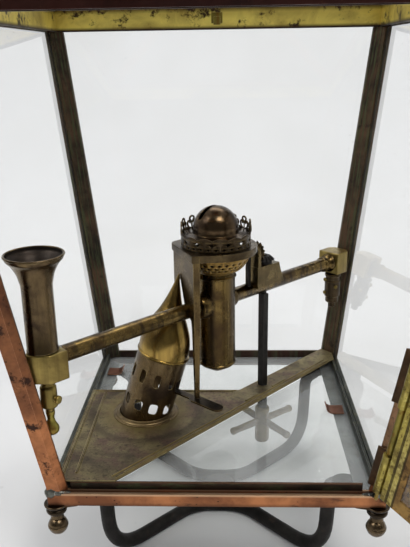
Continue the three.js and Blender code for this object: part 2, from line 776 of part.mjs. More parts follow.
const shaftAt = (geometry) => geometry.translate(shaftReach, -shaftOffset, 0);
const shaftBore = (low, high) => shaftAt(rod(journalRadius + fit, low, high, 16));
const rightTube = stepped(0, [
  [tubeRadius, rightBlockFace - 4], [tubeRadius + sheet, rightBlockFace - fit],
]);
const tubeBore = shaftBore(tubeHeight - 2 * tubeRadius, tubeHeight + 2 * tubeRadius);
piece('right_tube', cut(rightTube, cupCutter, tubeBore), agedBrass, diagonal);

// The cup that holds the oil, with a pocket for the end of the wick
const nippleRadius = 6.6;
const roundUp = cupRadius - nippleRadius;
const cupBand = 6;
const cupOutline = [
  [0, cupBottom], [nippleRadius - sheet, cupBottom], [nippleRadius, cupBottom + sheet],
  ...arc(roundUp, -78, 0, 5, nippleRadius, cupBottom + roundUp + 3),
  [cupRadius, cupTop - cupBand], [cupRadius + sheet, cupTop - cupBand + sheet],
  [cupRadius + sheet, cupTop - sheet], [cupRadius, cupTop], [0, cupTop],
];
const wickRoom = wickThick / 2 + fit;
const slab = (halfWidth, halfThick, low, high) =>
  block(-halfWidth, halfWidth, wickOffset - halfThick, wickOffset + halfThick, low, high);
const pocket = slab(wickWidth / 2 + fit, wickRoom, cupTop - pocketDepth, cupTop + fit);
piece('burner_cup', cut(revolve(cupOutline), pocket.rotateZ(Math.PI / 4)), agedBrass);

// Pierced basket above the cup
const spindleBore = (from, to) =>
  alongX(rod(spindleRadius + fit, from, to, 12)).translate(0, -shaftOffset, wheelHeight);

function basket() {
  const low = cupTop + fit;
  const wall = 1;
  const hole = 14.2;
  const outer = [[0.64, 0.1], [0.82, 0.38], [0.94, 0.7], [0.97, 0.86]].map(([across, rise]) =>
    [basketRadius * across, low + basketHeight * rise]);
  const inner = outer.toReversed().map(([r, z]) => [r - 1.4 * wall, z + 0.6 * wall]);
  const shell = revolve([
    [hole, low], [outer[0][0] - wall, low], ...outer, [basketRadius, basketTop - 2 * wall],
    [basketRadius, basketTop], [basketRadius - 2 * wall, basketTop], ...inner,
    [hole, low + wall], [hole, low],
  ], 18);
  const count = 9;
  const rows = [[0.34, 0.5], [0.58, 0]];
  const cutters = rows.flatMap(([rise, shift]) => Array.from({ length: count }, (_, i) =>
    alongX(rod(1.6, cupRadius, basketRadius + 2, 4)).translate(0, 0, low + rise * basketHeight)
      .rotateZ((2 * Math.PI * (i + shift + 0.25)) / count)));
  return cut(shell, ...cutters, spindleBore(0, 2 * basketRadius).rotateZ(Math.PI / 4));
}
piece('burner_basket', basket(), agedBrass);

// Wick and its flat tube; the window lets the toothed feed wheel reach the wick
const tubeWall = 0.9;
const wickTubeLow = cupTop + fit;
const feedRadius = shaftOffset + wickOffset - wickThick / 2 - fit;
const feedWidth = 6;
const wickTube = slab(wickWidth / 2 + fit + tubeWall, wickRoom + tubeWall, wickTubeLow, wickTubeTop);
const wickHollow = slab(wickWidth / 2 + fit, wickRoom, cupTop, wickTubeTop + fit);
const windowHalf = feedRadius + 1;
const feedWindow = block(-feedWidth / 2 - 1, feedWidth / 2 + 1, -shaftOffset, wickOffset,
  wheelHeight - windowHalf + fit, wheelHeight + windowHalf);
piece('wick_tube', cut(wickTube, wickHollow, feedWindow), darkBrass, diagonal);
const wickStrip = slab(wickWidth / 2, wickThick / 2, cupTop - wickDip, wickTubeTop + wickRise);
piece('wick', wickStrip, cotton, diagonal);

// Spindle with its toothed feed wheel
const wheelFace = shaftReach - pitchRadius;
const earNear = wheelFace - 6.7;
const earFar = earNear + 3.4;

function star(count, outer, inner) {
  return Array.from({ length: 2 * count }, (_, i) => {
    const radius = i % 2 ? inner : outer;
    const angle = (Math.PI * i) / count;
    return [radius * Math.cos(angle), radius * Math.sin(angle)];
  });
}

const feedWheel = raise(star(10, feedRadius, feedRadius - 0.9), feedWidth, -feedWidth / 2);

// Mitre gear: its axis is Z, its large end at height 0, and its apex at the pitch radius
function mitreGear(backing, hubRadius) {
  const pitch = 360 / gearTeeth;
  const [tip, root] = [pitchRadius + 0.75, pitchRadius - 1];
  const outline = [];
  for (let i = 0; i < gearTeeth; i++) {
    for (const [radius, share] of [[root, -0.29], [tip, -0.11], [tip, 0.11], [root, 0.29]]) {
      const angle = rad((i + share) * pitch);
      outline.push([radius * Math.cos(angle), radius * Math.sin(angle)]);
    }
  }
  const small = (pitchRadius - gearFace) / pitchRadius;
  const ring = (scale, z) => outline.map(([x, y]) => v3(x * scale, y * scale, z));
  const teeth = loft([ring(1, 0), ring(small, gearFace)], outline.map(([x, y]) => v2(x, y)));
  return join(teeth, rod(hubRadius, -backing, coreWall));
}

const wheel = mitreGear(wheelFace - earFar - 1, pitchRadius - 1.4).translate(0, 0, wheelFace);
const spindle = rod(spindleRadius, -feedWidth / 2 - 1, wheelFace + 1, 12);
const wickFeed = alongX(join(spindle, feedWheel, wheel));
piece('wick_spindle', wickFeed.translate(0, -shaftOffset, wheelHeight), darkBrass, diagonal);

const pinionLow = wheelHeight - pitchRadius;
const pinionGear = mitreGear(pinionLow - saddleTop - fit, pitchRadius - 2);
const pinion = shaftAt(pinionGear.rotateZ(Math.PI / gearTeeth));
const pinionBore = shaftBore(saddleTop, wheelHeight);
piece('bevel_pinion', cut(pinion.translate(0, 0, pinionLow), pinionBore), darkBrass, diagonal);

// Square shaft from the key below the base to the pinion
const hubLow = -65;
const hubHigh = -25;
const keyArm = 3.8;
const armDrop = 16;
const squareTop = tubeHeight - tubeRadius - 2 * fit;
const square = block(-shaftSide / 2, shaftSide / 2, -shaftSide / 2, shaftSide / 2, hubLow + 8, squareTop);
const journal = rod(journalRadius, squareTop - sheet, pinionLow + gearFace + sheet, 16);
piece('wick_shaft', shaftAt(join(square, journal)), iron, diagonal);

// Gear bracket: a saddle on the tube, with an upright ear for the spindle
const tubeCutter = alongX(rod(tubeRadius + fit, 0, 2 * shaftReach)).translate(0, 0, tubeHeight);

function gearBracket() {
  const [start, end] = [earNear - 0.7, shaftReach + 13.5];
  const half = 8.5;
  const saddleLow = tubeHeight + tubeRadius / 2;
  const slope = [[7, 0], [6, 0.18], [2.4, 0.6], [1, 0.8], [0, 1]].map(([reach, share]) =>
    [end + reach, saddleLow + share * (saddleTop - saddleLow)]);
  const saddle = upright(
    [[start, saddleLow], ...slope, [start, saddleTop]], 2 * half, -shaftOffset - half);
  const ear = upright([
    [-half, saddleTop - sheet], [half, saddleTop - sheet], ...arc(half, 0, 180, 8, 0, wheelHeight),
  ], earFar - earNear, 0);
  ear.rotateZ(Math.PI / 2).translate(earFar, -shaftOffset, 0);
  const bores = [shaftBore(tubeHeight, 2 * saddleTop), spindleBore(0, wheelFace)];
  return cut(join(saddle, ear), tubeCutter, ...bores);
}
piece('gear_bracket', gearBracket(), agedBrass, diagonal);

const stayHalf = 2.1;
const stayFar = earNear - 0.7 - fit;
const stay = block(
  stayFar - 2 * stayHalf, stayFar, -shaftOffset - 2 * stayHalf, -shaftOffset + 2 * stayHalf,
  tubeHeight + tubeRadius / 2, wheelHeight + 2 * stayHalf);
piece('spindle_stay', cut(stay, tubeCutter, spindleBore(0, wheelFace)), iron, diagonal);

// Four-armed key under the base
function wickKey() {
  const hub = revolve([
    [0, hubLow], [keyHub - sheet, hubLow], [keyHub, hubLow + sheet], [keyHub, hubHigh - sheet],
    [keyHub - sheet, hubHigh], [0, hubHigh],
  ]);
  const arms = [0, 90, 180, 270].map((angle) => {
    const arm = revolve([
      [0, 0], [keyArm, 0], [keyArm - 0.6, keyReach - 5], [keyArm, keyReach - 3],
      [keyArm - sheet, keyReach], [0, keyReach],
    ], 8);
    return alongX(arm).translate(0, 0, hubHigh - armDrop).rotateZ(rad(angle - 7));
  });
  const room = shaftSide / 2 + fit;
  return cut(join(hub, ...arms), block(-room, room, -room, room, hubLow + 8 - fit, hubHigh + sheet));
}
piece('wick_key', shaftAt(wickKey()), iron, diagonal);

// Brass blocks that hold the tubes in the corner bars: straight sides, corner to the bars
function cornerBlock(face, reach, width, low, high, chamfer) {
  const half = width / 2;
  const side = reach * Math.SQRT2 - half;
  const nose = reach * Math.SQRT2 - chamfer;
  return raise([
    [face, -half], [side, -half], [nose, -chamfer], [nose, chamfer], [side, half], [face, half],
  ], high - low, low);
}

const leftBlock = cornerBlock(
  leftBlockFace, leftReach, blockWidth, leftBlockLow, leftBlockHigh, leftChamfer);
piece('left_block', leftBlock.rotateZ(Math.PI), brass, diagonal);
piece('right_block', cornerBlock(
  rightBlockFace, rightReach, blockWidth, rightBlockLow, rightBlockHigh, rightChamfer,
), brass, diagonal);

// Socket under the right block, flattened where it lies on the corner bar
const socketAt = rightBlockFace + 3.5;
const socketLow = rightBlockLow - 27;
const bevelAt = (z) => Math.SQRT2 * (halfAt(z) - (barWidth + barDepth) / 2) - 2 * fit;
const socketCutter = loft([socketLow - 20, rightBlockLow + 20].map((z) => [
  v3(bevelAt(z), -40, z), v3(bevelAt(z) + 60, -40, z), v3(bevelAt(z) + 60, 40, z), v3(bevelAt(z), 40, z),
]), [v2(0, -1), v2(1, -1), v2(1, 1), v2(0, 1)]);
const socket = revolve([
  [0, socketLow - 6], [4, socketLow - 6], [4, socketLow], [8.5, socketLow],
  [8.5, rightBlockLow - fit], [0, rightBlockLow - fit],
]).translate(socketAt, 0, 0);
piece('right_socket', cut(socket, socketCutter), darkBrass, diagonal);

// Filler funnel standing in the left block, as close to the panes as its rim allows
const funnelGap = 2.4;
const funnelReach = Math.SQRT2 * (halfAt(funnelTop) - paneIn - funnelGap - funnelRim);
const throat = 0.66 * (funnelTop - leftBlockHigh) + leftBlockHigh;
const flare = (wall) => [[0, 0], [0.07, 0.2], [0.24, 0.45], [0.55, 0.7], [0.88, 0.84]]
  .map(([across, rise]) => [
    funnelTube - wall + across * (funnelRim - funnelTube), throat + rise * (funnelTop - throat)]);
piece('filler_funnel', revolve([
  [funnelTube - sheet, leftBlockHigh + fit], [funnelTube, leftBlockHigh + fit], ...flare(0),
  [funnelRim, funnelTop - 2 * sheet], [funnelRim, funnelTop], [funnelRim - 2 * sheet, funnelTop],
  ...flare(sheet).reverse(), [funnelTube - sheet, leftBlockHigh + fit],
], 18).translate(-funnelReach, 0, 0), agedBrass, diagonal);

// Drain valve under the left block, with its knob
const drainTop = leftBlockLow - fit;
const valveLow = drainTop - drainLength;
const knobRadius = 6;
const drainReach = Math.SQRT2 * (halfAt(valveLow - knobLength) - slotFloor - knobRadius - 2 * fit);
const drainAt = (geometry) => geometry.translate(-drainReach, 0, 0);
const valve = revolve([
  [0, valveLow], [3.6, valveLow], [4.2, valveLow + 3], [6.6, valveLow + 4], [7, valveLow + 6],
  [7, drainTop - 7], [5.6, drainTop - 6], [5.6, drainTop], [0, drainTop],
]);
const plugScrew = alongX(revolve([
  [0, 0], [2, 0], [2, 8.4], [3.4, 8.4], [3.4, 10.6], [0, 10.6],
], 12)).rotateZ(rad(-70)).translate(0, 0, drainTop - 17);
piece('drain_valve', drainAt(join(valve, plugScrew)), agedBrass, diagonal);

const knobTop = valveLow - fit;
const knobShape = [[0.43, 1], [0.83, 0.92], [1, 0.8], [0.93, 0.66], [0.63, 0.5], [0.48, 0.3], [0.6, 0.12]];
piece('drain_knob', drainAt(revolve([
  [0, knobTop - knobLength],
  ...knobShape.map(([across, drop]) => [across * knobRadius, knobTop - drop * knobLength]),
  [0.6 * knobRadius, knobTop], [0, knobTop],
], 12)), brass, diagonal);

// Lifter: collar with a folded lip, notched panel, and one leg down to the lift bar.
// The panel faces -X in the lifter's own turned group.
const lifter = new THREE.Group();
lifter.rotation.z = rad(lifterTurn);
lantern.add(lifter);

function collarOutline(inset) {
  const cornerX = panelAt + 1 - inset;
  const cornerY = panelHalf - inset;
  const radius = collarRadius - inset;
  const corner = THREE.MathUtils.radToDeg(Math.atan2(cornerY, -cornerX));
  const tangent = THREE.MathUtils.radToDeg(Math.acos(radius / Math.hypot(cornerX, cornerY)));
  const reach = corner - tangent;
  const round = arc(collarCorner - inset, 100, 180, 3, collarCorner - inset - cornerX,
    cornerY - collarCorner + inset);
  return [[-cornerX, -cornerY], ...arc(radius, -reach, reach, 18), ...round];
}

function lifterFrame() {
  const wall = 1;
  const lipLow = collarTop - collarLip;
  const lip = cut(
    raise(collarOutline(0), collarLip, lipLow),
    raise(collarOutline(wall), 2 * collarLip, lipLow - collarLip),
  );
  const hole = circle(crownRadius - 2.5, 20);
  const top = raise(collarOutline(0), sheet, collarTop - sheet, [hole]);
  const legLow = liftBarTop + fit;
  const legInner = -panelHalf + 6.5;
  const panelEdge = panelHalf - collarCorner;
  const notchTop = collarTop - notchDepth;
  const panelTop = collarTop - sheet / 2;
  const notched = upright([
    [-panelHalf, legLow], [legInner, legLow], [legInner, notchTop - 17], [4.7, notchTop],
    [panelEdge, notchTop - 19], [panelEdge, panelTop], [-panelHalf, panelTop],
  ], wall, 0).rotateZ(Math.PI / 2).translate(-panelAt, 0, 0);
  const turned = rad(-lifterTurn);
  const flange = block(0, 6, 0, wall, legLow, collarTop - sheet / 2).rotateZ(turned);
  flange.translate(-panelAt - wall, -panelHalf, 0);
  return join(top, lip, notched, flange);
}
piece('lifter_frame', lifterFrame(), agedBrass, lifter);

const liftRun = liftEnd.clone().sub(liftStart);
const liftLength = liftRun.length();
const paddle = 6;
const neck = 3.6;
const liftBar = raise([
  [0, -neck], [0.5 * liftLength, -neck], [0.56 * liftLength, -paddle],
  ...arc(paddle, -90, 90, 8, liftLength - paddle, 0), [0.56 * liftLength, paddle],
  [0.5 * liftLength, neck], [0, neck],
], liftBarThick, liftBarTop - liftBarThick);
liftBar.rotateZ(Math.atan2(liftRun.y, liftRun.x)).translate(liftStart.x, liftStart.y, 0);
piece('lift_bar', liftBar, darkBrass);

// Pierced crown: flat units with a scroll prong each, joined into a ring
function crown() {
  const wall = 0.9;
  const half = crownRadius * Math.tan(Math.PI / crownUnits);
  const prong = [[0.66, 0], [0.82, 0.3], [0.5, 0.45], [0.2, 0.38], [0.35, 0.7]].map(
    ([across, rise]) => [across * half, crownBand + rise * prongRise]);
  const mirror = (points) => points.map(([x, y]) => [-x, y]).reverse();
  const outline = [
    [-half, 0], [half, 0], [half, crownBand], ...prong, [0, crownBand + prongRise],
    ...mirror(prong), [-half, crownBand],
  ];
  const holes = [-1, 1].map((side) => circle(1.7, 4, side * half / 2, crownBand * 0.45, 90));
  const units = Array.from({ length: crownUnits }, (_, i) => {
    const shape = new THREE.Shape(outline.map(([x, y]) => v2(x, y)));
    shape.holes = holes.map((hole) => new THREE.Path(hole.map(([x, y]) => v2(x, y))));
    const flat = new THREE.ExtrudeGeometry(shape, { depth: wall, bevelEnabled: false });
    flat.rotateX(Math.PI / 2).translate(0, crownRadius, collarTop + fit);
    return flat.rotateZ((2 * Math.PI * i) / crownUnits);
  });
  return join(...units);
}
piece('burner_crown', crown(), darkBrass, lifter);

// Slotted dome on a flat ring inside the crown
function dome() {
  const low = collarTop + crownBand;
  const wall = 1;
  const flangeRadius = crownRadius - 0.9 - fit;
  const shell = revolve([
    ...arc(domeRadius - wall, 90, 0, 5, 0, domeCentre), [domeRadius - wall, low],
    [flangeRadius, low], [flangeRadius, low + wall], [domeRadius + 1, low + wall],
    [domeRadius, low + 2 * wall], ...arc(domeRadius, 0, 90, 5, 0, domeCentre),
  ], 16);
  const half = 2.2;
  const reach = 0.66 * domeRadius;
  const slot = block(-reach, reach, wickOffset - half, wickOffset + half, domeCentre + 5, 2 * domeCentre);
  return cut(shell, slot.rotateZ(Math.PI / 4 - rad(lifterTurn)));
}
piece('burner_dome', dome(), agedBrass, lifter);

// Door, built shut in the front face and swung open about the leaning hinge line
const door = new THREE.Group();
door.position.copy(hingeFoot);
door.quaternion.setFromAxisAngle(hingeLine, rad(doorOpen));
lantern.add(door);

const hung = (geometry) => geometry.translate(-hingeFoot.x, -hingeFoot.y, -hingeFoot.z);
const doorBack = -doorGap;
const doorFront = doorBack - doorThick;
const freeEdge = 1;
const hingeEdge = hingeInset + knuckleRadius + 2 * fit;

function doorFrame() {
  const low = doorLow + doorRail;
  const high = doorHigh - doorRail;
  const frame = panel(freeEdge, hingeEdge, doorFront, doorBack, doorLow, doorHigh);
  const opening = panel(
    freeEdge + doorStile, hingeEdge + doorStile, doorFront - fit, doorBack + fit, low, high);
  const rebate = panel(
    freeEdge + doorStile - glassHold, hingeEdge + doorStile - glassHold,
    doorFront + doorLip, doorBack + fit, low - glassHold, high + glassHold);
  const leaves = knuckles.map(([z0, z1]) => rightStrip(
    hingeInset, hingeEdge + sheet, doorFront + fit, doorFront + 2 * sheet, z0 + sheet, z1 - sheet));
  const barrels = knuckles.map(([z0, z1]) => hingeRing(knuckleRadius, z0, z1));
  const body = cut(frame, opening, rebate);
  return cut(join(body, ...leaves, ...barrels), pinBore);
}
piece('door_frame', hung(doorFrame()), brass, door);

const paneEdge = doorStile - glassHold + fit;
const doorPane = panel(
  freeEdge + paneEdge, hingeEdge + paneEdge, doorFront + doorLip + fit,
  doorFront + doorLip + fit + glass, doorLow + doorRail - glassHold + fit,
  doorHigh - doorRail + glassHold - fit);
piece('door_glass', hung(doorPane), clear, door);

const pinTop = knuckles.at(-1)[1] + 2 * fit + eyeHeight;
const hingePin = join(
  hingeRing(pinRadius, barLow + fit, pinTop + sheet),
  hingeRing(pinRadius + 1.2, pinTop + fit, pinTop + 2 * sheet),
);
piece('hinge_pin', hingePin, iron);

// Turn button on the rim, that holds the shut door
const buttonBack = halfAt(doorHigh) - doorFront + 2 * fit;
const buttonAt = v3(-60, -rimOuter, bodyHeight + rimHeight / 2);
const buttonPlate = upright([
  ...arc(5, 90, 270, 8), ...arc(4, -90, 90, 6, 22, 0),
], 2.4, -buttonBack + rimOuter - 2.4);
const button = join(
  buttonPlate,
  rod(4, fit, buttonBack - rimOuter + sheet, 16).rotateX(Math.PI / 2),
);
piece('turn_button', button.translate(buttonAt.x, buttonAt.y, buttonAt.z), brass);

export default object;
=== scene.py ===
import math
import random
import bmesh
import bpy
from mathutils import Matrix, Vector


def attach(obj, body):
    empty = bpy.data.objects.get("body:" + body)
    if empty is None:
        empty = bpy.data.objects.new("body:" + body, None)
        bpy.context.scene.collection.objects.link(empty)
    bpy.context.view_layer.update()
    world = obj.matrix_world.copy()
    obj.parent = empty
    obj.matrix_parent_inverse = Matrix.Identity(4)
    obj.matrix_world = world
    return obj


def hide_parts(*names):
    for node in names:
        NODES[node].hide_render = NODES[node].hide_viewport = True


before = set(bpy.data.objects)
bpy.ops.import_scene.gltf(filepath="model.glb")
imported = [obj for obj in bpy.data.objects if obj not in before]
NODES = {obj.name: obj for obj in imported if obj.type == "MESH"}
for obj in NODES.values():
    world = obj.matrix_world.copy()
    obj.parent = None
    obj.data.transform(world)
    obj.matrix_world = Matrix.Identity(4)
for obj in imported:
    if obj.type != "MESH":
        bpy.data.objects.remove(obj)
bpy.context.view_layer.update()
scene = bpy.context.scene

# Lengths are millimetres with the CAD's own axes; emit() turns them into metres.
MM = 0.001
STAND = 105.0          # top of the base rails above the ground
BASE = 274.0           # width over the base rails
EAVES = 372.0          # width at the top of the glass
HEIGHT = 357.0         # from the base rails to the eaves
LEAN = (EAVES - BASE) / 2 / HEIGHT
FIT = 0.3
HINGE_FOOT = Vector((128, -141.7, 0))
HINGE = Vector((LEAN, -LEAN, 1)).normalized()
LANTERN = Matrix.Translation((0, 0, STAND))
ALONG_X = Matrix.Rotation(math.radians(90), 4, "Y")


def half_at(z):
    return BASE / 2 + LEAN * z


def shift(x, y, z):
    return Matrix.Translation((x, y, z))


def turn(degrees):
    return Matrix.Rotation(math.radians(degrees), 4, "Z")


DIAGONAL = LANTERN @ turn(45)
LIFTER = LANTERN @ turn(24.7)

# ---------------------------------------------------------------- materials

def srgb(text):
    """A hex colour as linear light."""
    parts = [int(text[i:i + 2], 16) / 255 for i in (1, 3, 5)]
    return tuple(v / 12.92 if v <= 0.04045 else ((v + 0.055) / 1.055) ** 2.4 for v in parts) + (1.0,)


class Look:
    """The node tree of a material or of the world, under construction."""

    def __init__(self, owner, output="ShaderNodeOutputMaterial"):
        self.owner = bpy.data.materials.new(owner) if isinstance(owner, str) else owner
        self.owner.use_nodes = True
        self.tree = self.owner.node_tree
        self.tree.nodes.clear()
        self.out = self.tree.nodes.new(output)
        self.coord = self.node("ShaderNodeTexCoord")
        self.place = self.coord.outputs["Object"]

    def node(self, kind, inputs=(), **props):
        """Add a node, set its properties, and feed its inputs with sockets or constants."""
        node = self.tree.nodes.new(kind)
        for key, value in props.items():
            setattr(node, key, value)
        for key, value in dict(inputs).items():
            self.feed(node.inputs[key], value)
        return node

    def feed(self, socket, value):
        if hasattr(value, "is_output"):
            self.tree.links.new(value, socket)
        else:
            socket.default_value = srgb(value) if isinstance(value, str) else value

    def done(self, shader):
        self.feed(self.out.inputs["Surface"], shader.outputs[0])
        return self.owner

    def mapping(self, **inputs):
        return self.node("ShaderNodeMapping", dict(Vector=self.place, **inputs)).outputs["Vector"]

    def noise(self, scale, detail=4, rough=0.55, at=None, distort=0.0):
        return self.node("ShaderNodeTexNoise", {
            "Vector": self.place if at is None else at, "Scale": scale, "Detail": detail,
            "Roughness": rough, "Distortion": distort}).outputs["Fac"]

    def spots(self, scale, at=None):
        return self.node("ShaderNodeTexVoronoi", {
            "Vector": self.place if at is None else at, "Scale": scale}).outputs["Distance"]

    def ramp(self, value, low, high, out_low=0.0, out_high=1.0):
        return self.node("ShaderNodeMapRange", {
            "Value": value, "From Min": low, "From Max": high, "To Min": out_low,
            "To Max": out_high}, clamp=True).outputs["Result"]

    def math(self, how, a, b=0.0):
        return self.node("ShaderNodeMath", {0: a, 1: b}, operation=how).outputs[0]

    def times(self, a, b):
        return self.math("MULTIPLY", a, b)

    def vector(self, how, a, b, out="Value"):
        return self.node("ShaderNodeVectorMath", {0: a, 1: b}, operation=how).outputs[out]

    def mix(self, amount, a, b):
        return self.node("ShaderNodeMix", {0: amount, 6: a, 7: b}, data_type="RGBA").outputs[2]

    def over(self, under, top, value, low, high, most=1.0):
        """Lay one colour over another as a value runs from low to high."""
        return self.mix(self.ramp(value, low, high, 0.0, most), under, top)

    def band(self, value, rise, fall):
        """1 between two soft ends."""
        return self.times(self.ramp(value, *rise), self.ramp(value, *fall))

    def axis(self, name):
        return self.node("ShaderNodeSeparateXYZ", {0: self.place}).outputs[name]

    def soft_edges(self, radius=0.0005):
        return self.node("ShaderNodeBevel", {"Radius": radius}, samples=6).outputs[0]

    def edges(self, radius=0.0006):
        """1 on worn edges, 0 on flats: where the bevelled normal leaves the true one."""
        flat = self.node("ShaderNodeNewGeometry").outputs["Normal"]
        return self.ramp(self.vector("DOT_PRODUCT", self.soft_edges(radius), flat), 1.0, 0.86)

    def clouds(self, scale, detail=5, rough=0.6, distort=0.4):
        return self.noise(scale, detail, rough, distort=distort)

    def blots(self, scale, **place):
        """Ragged stains; the place keeps them apart from the clouds."""
        return self.noise(scale, 6, 0.7, at=self.mapping(**place) if place else None)

    def surface(self, color, rough, metal, height, strength, distance, radius=0.0005):
        """A surface with a fine relief; radius 0 leaves its edges sharp."""
        bump = {"Height": height, "Strength": strength, "Distance": distance}
        if radius:
            bump["Normal"] = self.soft_edges(radius)
        return self.done(self.node("ShaderNodeBsdfPrincipled", {
            "Base Color": color, "Roughness": rough, "Metallic": metal,
            "Normal": self.node("ShaderNodeBump", bump).outputs["Normal"]}))

    def dulled(self, clouds, low, high):
        """Roughness that follows the clouds."""
        return self.ramp(clouds, 0.3, 0.7, low, high)


BLOTS_AT = (3.1, 1.7, 2.2)


def metal(name, colors, rough, stretch=1.0, metallic=0.92, grain=0.25,
          dark_share=(0.45, 0.65), stain_share=(0.6, 0.75), pits=0.0, folds=0.0, shade=None):
    """Aged metal: base, dark clouds, stains, grain along one axis, worn edges. Colours in that order. Given
    shade heights, the stain colour is laid over everything above them as painted shade.
    """
    look = Look(name)
    base, dark, stain_and_shade, *worn = colors.split()
    along = look.mapping(Scale=(1, 1, stretch))
    clouds = look.clouds(28)
    streaks = look.noise(260, 3, 0.6, at=along)
    fine = look.noise(1900, 2, 0.5, at=along)
    color = look.over(base, dark, clouds, *dark_share)
    color = look.over(color, dark, streaks, 0.42, 0.72, 0.5)
    blots = look.blots(75, Location=BLOTS_AT)
    color = look.over(color, stain_and_shade, blots, *stain_share)
    if pits:
        holes = look.ramp(look.spots(190, at=look.mapping(Scale=(1, 1, 0.7))), 0.12, 0.05)
        color = look.mix(look.times(holes, look.ramp(blots, 0.44, 0.56, 0.0, pits)), color, "#281a16")
    if folds:
        bands = look.noise(150, 2, 0.5, at=look.mapping(Scale=(1, 1, 0.02), Location=(0.7, 0.2, 0.9)))
        color = look.over(color, stain_and_shade, bands, 0.5, 0.62, folds)
    # Painted shade: above the given heights the colour darkens towards the stain tone.
    if shade:
        low, high, most = shade
        color = look.over(color, stain_and_shade, look.axis("Z"), low * MM, high * MM, most)
    if worn:
        rubbed = look.times(look.edges(), look.ramp(clouds, 0.3, 0.6, 0.4, 1.0))
        color = look.mix(rubbed, color, worn[0])
    height = look.math("ADD", look.times(streaks, 0.5), look.times(fine, 0.5))
    roughness = look.ramp(look.math("ADD", clouds, look.times(fine, 0.3)), 0.4, 0.9, *rough)
    return look.surface(color, roughness, metallic, height, grain, 0.0004)


def glass(name, haze, tint, smears=0.0):
    """Thin clear sheet: mostly see-through, with mirror gloss by angle and a light film of dust."""
    look = Look(name)
    clear = look.node("ShaderNodeBsdfTransparent", {"Color": tint})
    gloss = look.node("ShaderNodeBsdfGlossy", {"Roughness": 0.02, "Color": (1, 1, 1, 1)})
    fresnel = look.node("ShaderNodeFresnel", {"IOR": 1.5}).outputs[0]
    back = look.node("ShaderNodeNewGeometry").outputs["Backfacing"]
    mirror = look.times(fresnel, look.math("SUBTRACT", 1.0, back))
    shine = look.node("ShaderNodeMixShader", {0: mirror, 1: clear.outputs[0], 2: gloss.outputs[0]})
    dust = look.node("ShaderNodeBsdfDiffuse", {"Color": (0.8, 0.81, 0.8, 1.0)})
    amount = look.ramp(look.noise(9, 5, 0.6), 0.3, 0.7, haze * (1 - smears), haze * (1 + smears))
    return look.done(look.node("ShaderNodeMixShader", {
        0: amount, 1: shine.outputs[0], 2: dust.outputs[0]}))


COPPER = metal("bright_copper", "#be7a50 #885236 #3e2a22 #d8a07a", (0.28, 0.52),
               dark_share=(0.4, 0.7), stain_share=(0.58, 0.68), pits=0.9)
PATINA = metal("brown_patina", "#4e3a32 #2a2420 #545442 #8c7a52", (0.34, 0.6), 0.04, folds=0.7)
BRASS = metal("worn_brass", "#9c884a #68582c #423620 #c4b270", (0.26, 0.5), 0.06, folds=0.4)
AGED = metal("aged_brass", "#766646 #443a2a #2a241e #a08c60", (0.18, 0.38), 0.1, metallic=1.0)
TUBE = metal("brown_brass", "#7e683c #4c3c28 #2c241e #a89260", (0.16, 0.36), 0.1, metallic=1.0,
             folds=0.7)
SOOTY = metal("sooty_brass", "#4c4030 #2a231d #1b1815 #968052", (0.22, 0.42), 0.1, metallic=1.0)
GOLD = metal("mottled_brass", "#968a42 #685c2e #784e22 #ccbe7c", (0.26, 0.52), 0.12,
             stain_share=(0.58, 0.7), folds=0.5)
SLEEVE_LOOK = metal("sleeve_brass", "#6e5c40 #3e3228 #241f1b #a48e5c", (0.2, 0.4), 0.1,
                    metallic=1.0)
HOOD_LOOK = metal("hood_brass", "#b29450 #705a32 #3a2e20 #c4ac6c", (0.14, 0.3), 0.05, metallic=1.0,
                  folds=0.35)
BASKET_LOOK = metal("basket_brass", "#ac8a4c #705832 #3a2e22 #ceb274", (0.22, 0.4), 0.3,
                    metallic=1.0)
FUNNEL_LOOK = metal("funnel_brass", "#705e42 #3e3228 #241f1c #beaa7a", (0.16, 0.34), 0.05,
                    metallic=1.0)
COLLAR_LOOK = metal("collar_brass", "#6a5838 #443727 #2a231d #aa9668", (0.18, 0.38), 0.1,
                    metallic=1.0)
DOME_LOOK = metal("dome_brass", "#62503a #3c3026 #26201c #8c744e", (0.14, 0.28), metallic=1.0)
# The top of each ball, tucked under the rails, gets painted shade.
BALL = metal("ball_brass", "#685842 #3e342a #221e1b #8c7454", (0.2, 0.4), metallic=1.0,
             shade=(STAND - 30, STAND - 28, 0.7))
LIP_LOOK = metal("lip_brass", "#5c4e36 #3a3026 #26201c #968258", (0.2, 0.4), metallic=1.0)
# A darker copy of the funnel's brass for its inside, as painted shade.
SHADED_LINING = metal("funnel_lining", "#3e3630 #26221f #544634 #6e6048", (0.34, 0.55))
TAB_LOOK = metal("tab_copper", "#8a5e4a #5c4034 #3c2c26 #b4846a", (0.3, 0.5))
# Dark sheet colour standing in for the shade inside the basket.
SHADE_LINER = metal("soot", "#1e1b18 #141211 #26201a", (0.6, 0.8))
KEY_LOOK = metal("key_iron", "#8c7e62 #5c5240 #3c342a #827662", (0.4, 0.62), metallic=0.7,
                 grain=0.5)
PLATE_EDGE = metal("plate_edge", "#8e7c4e #5c5036 #3c3428 #b29e68", (0.32, 0.52))
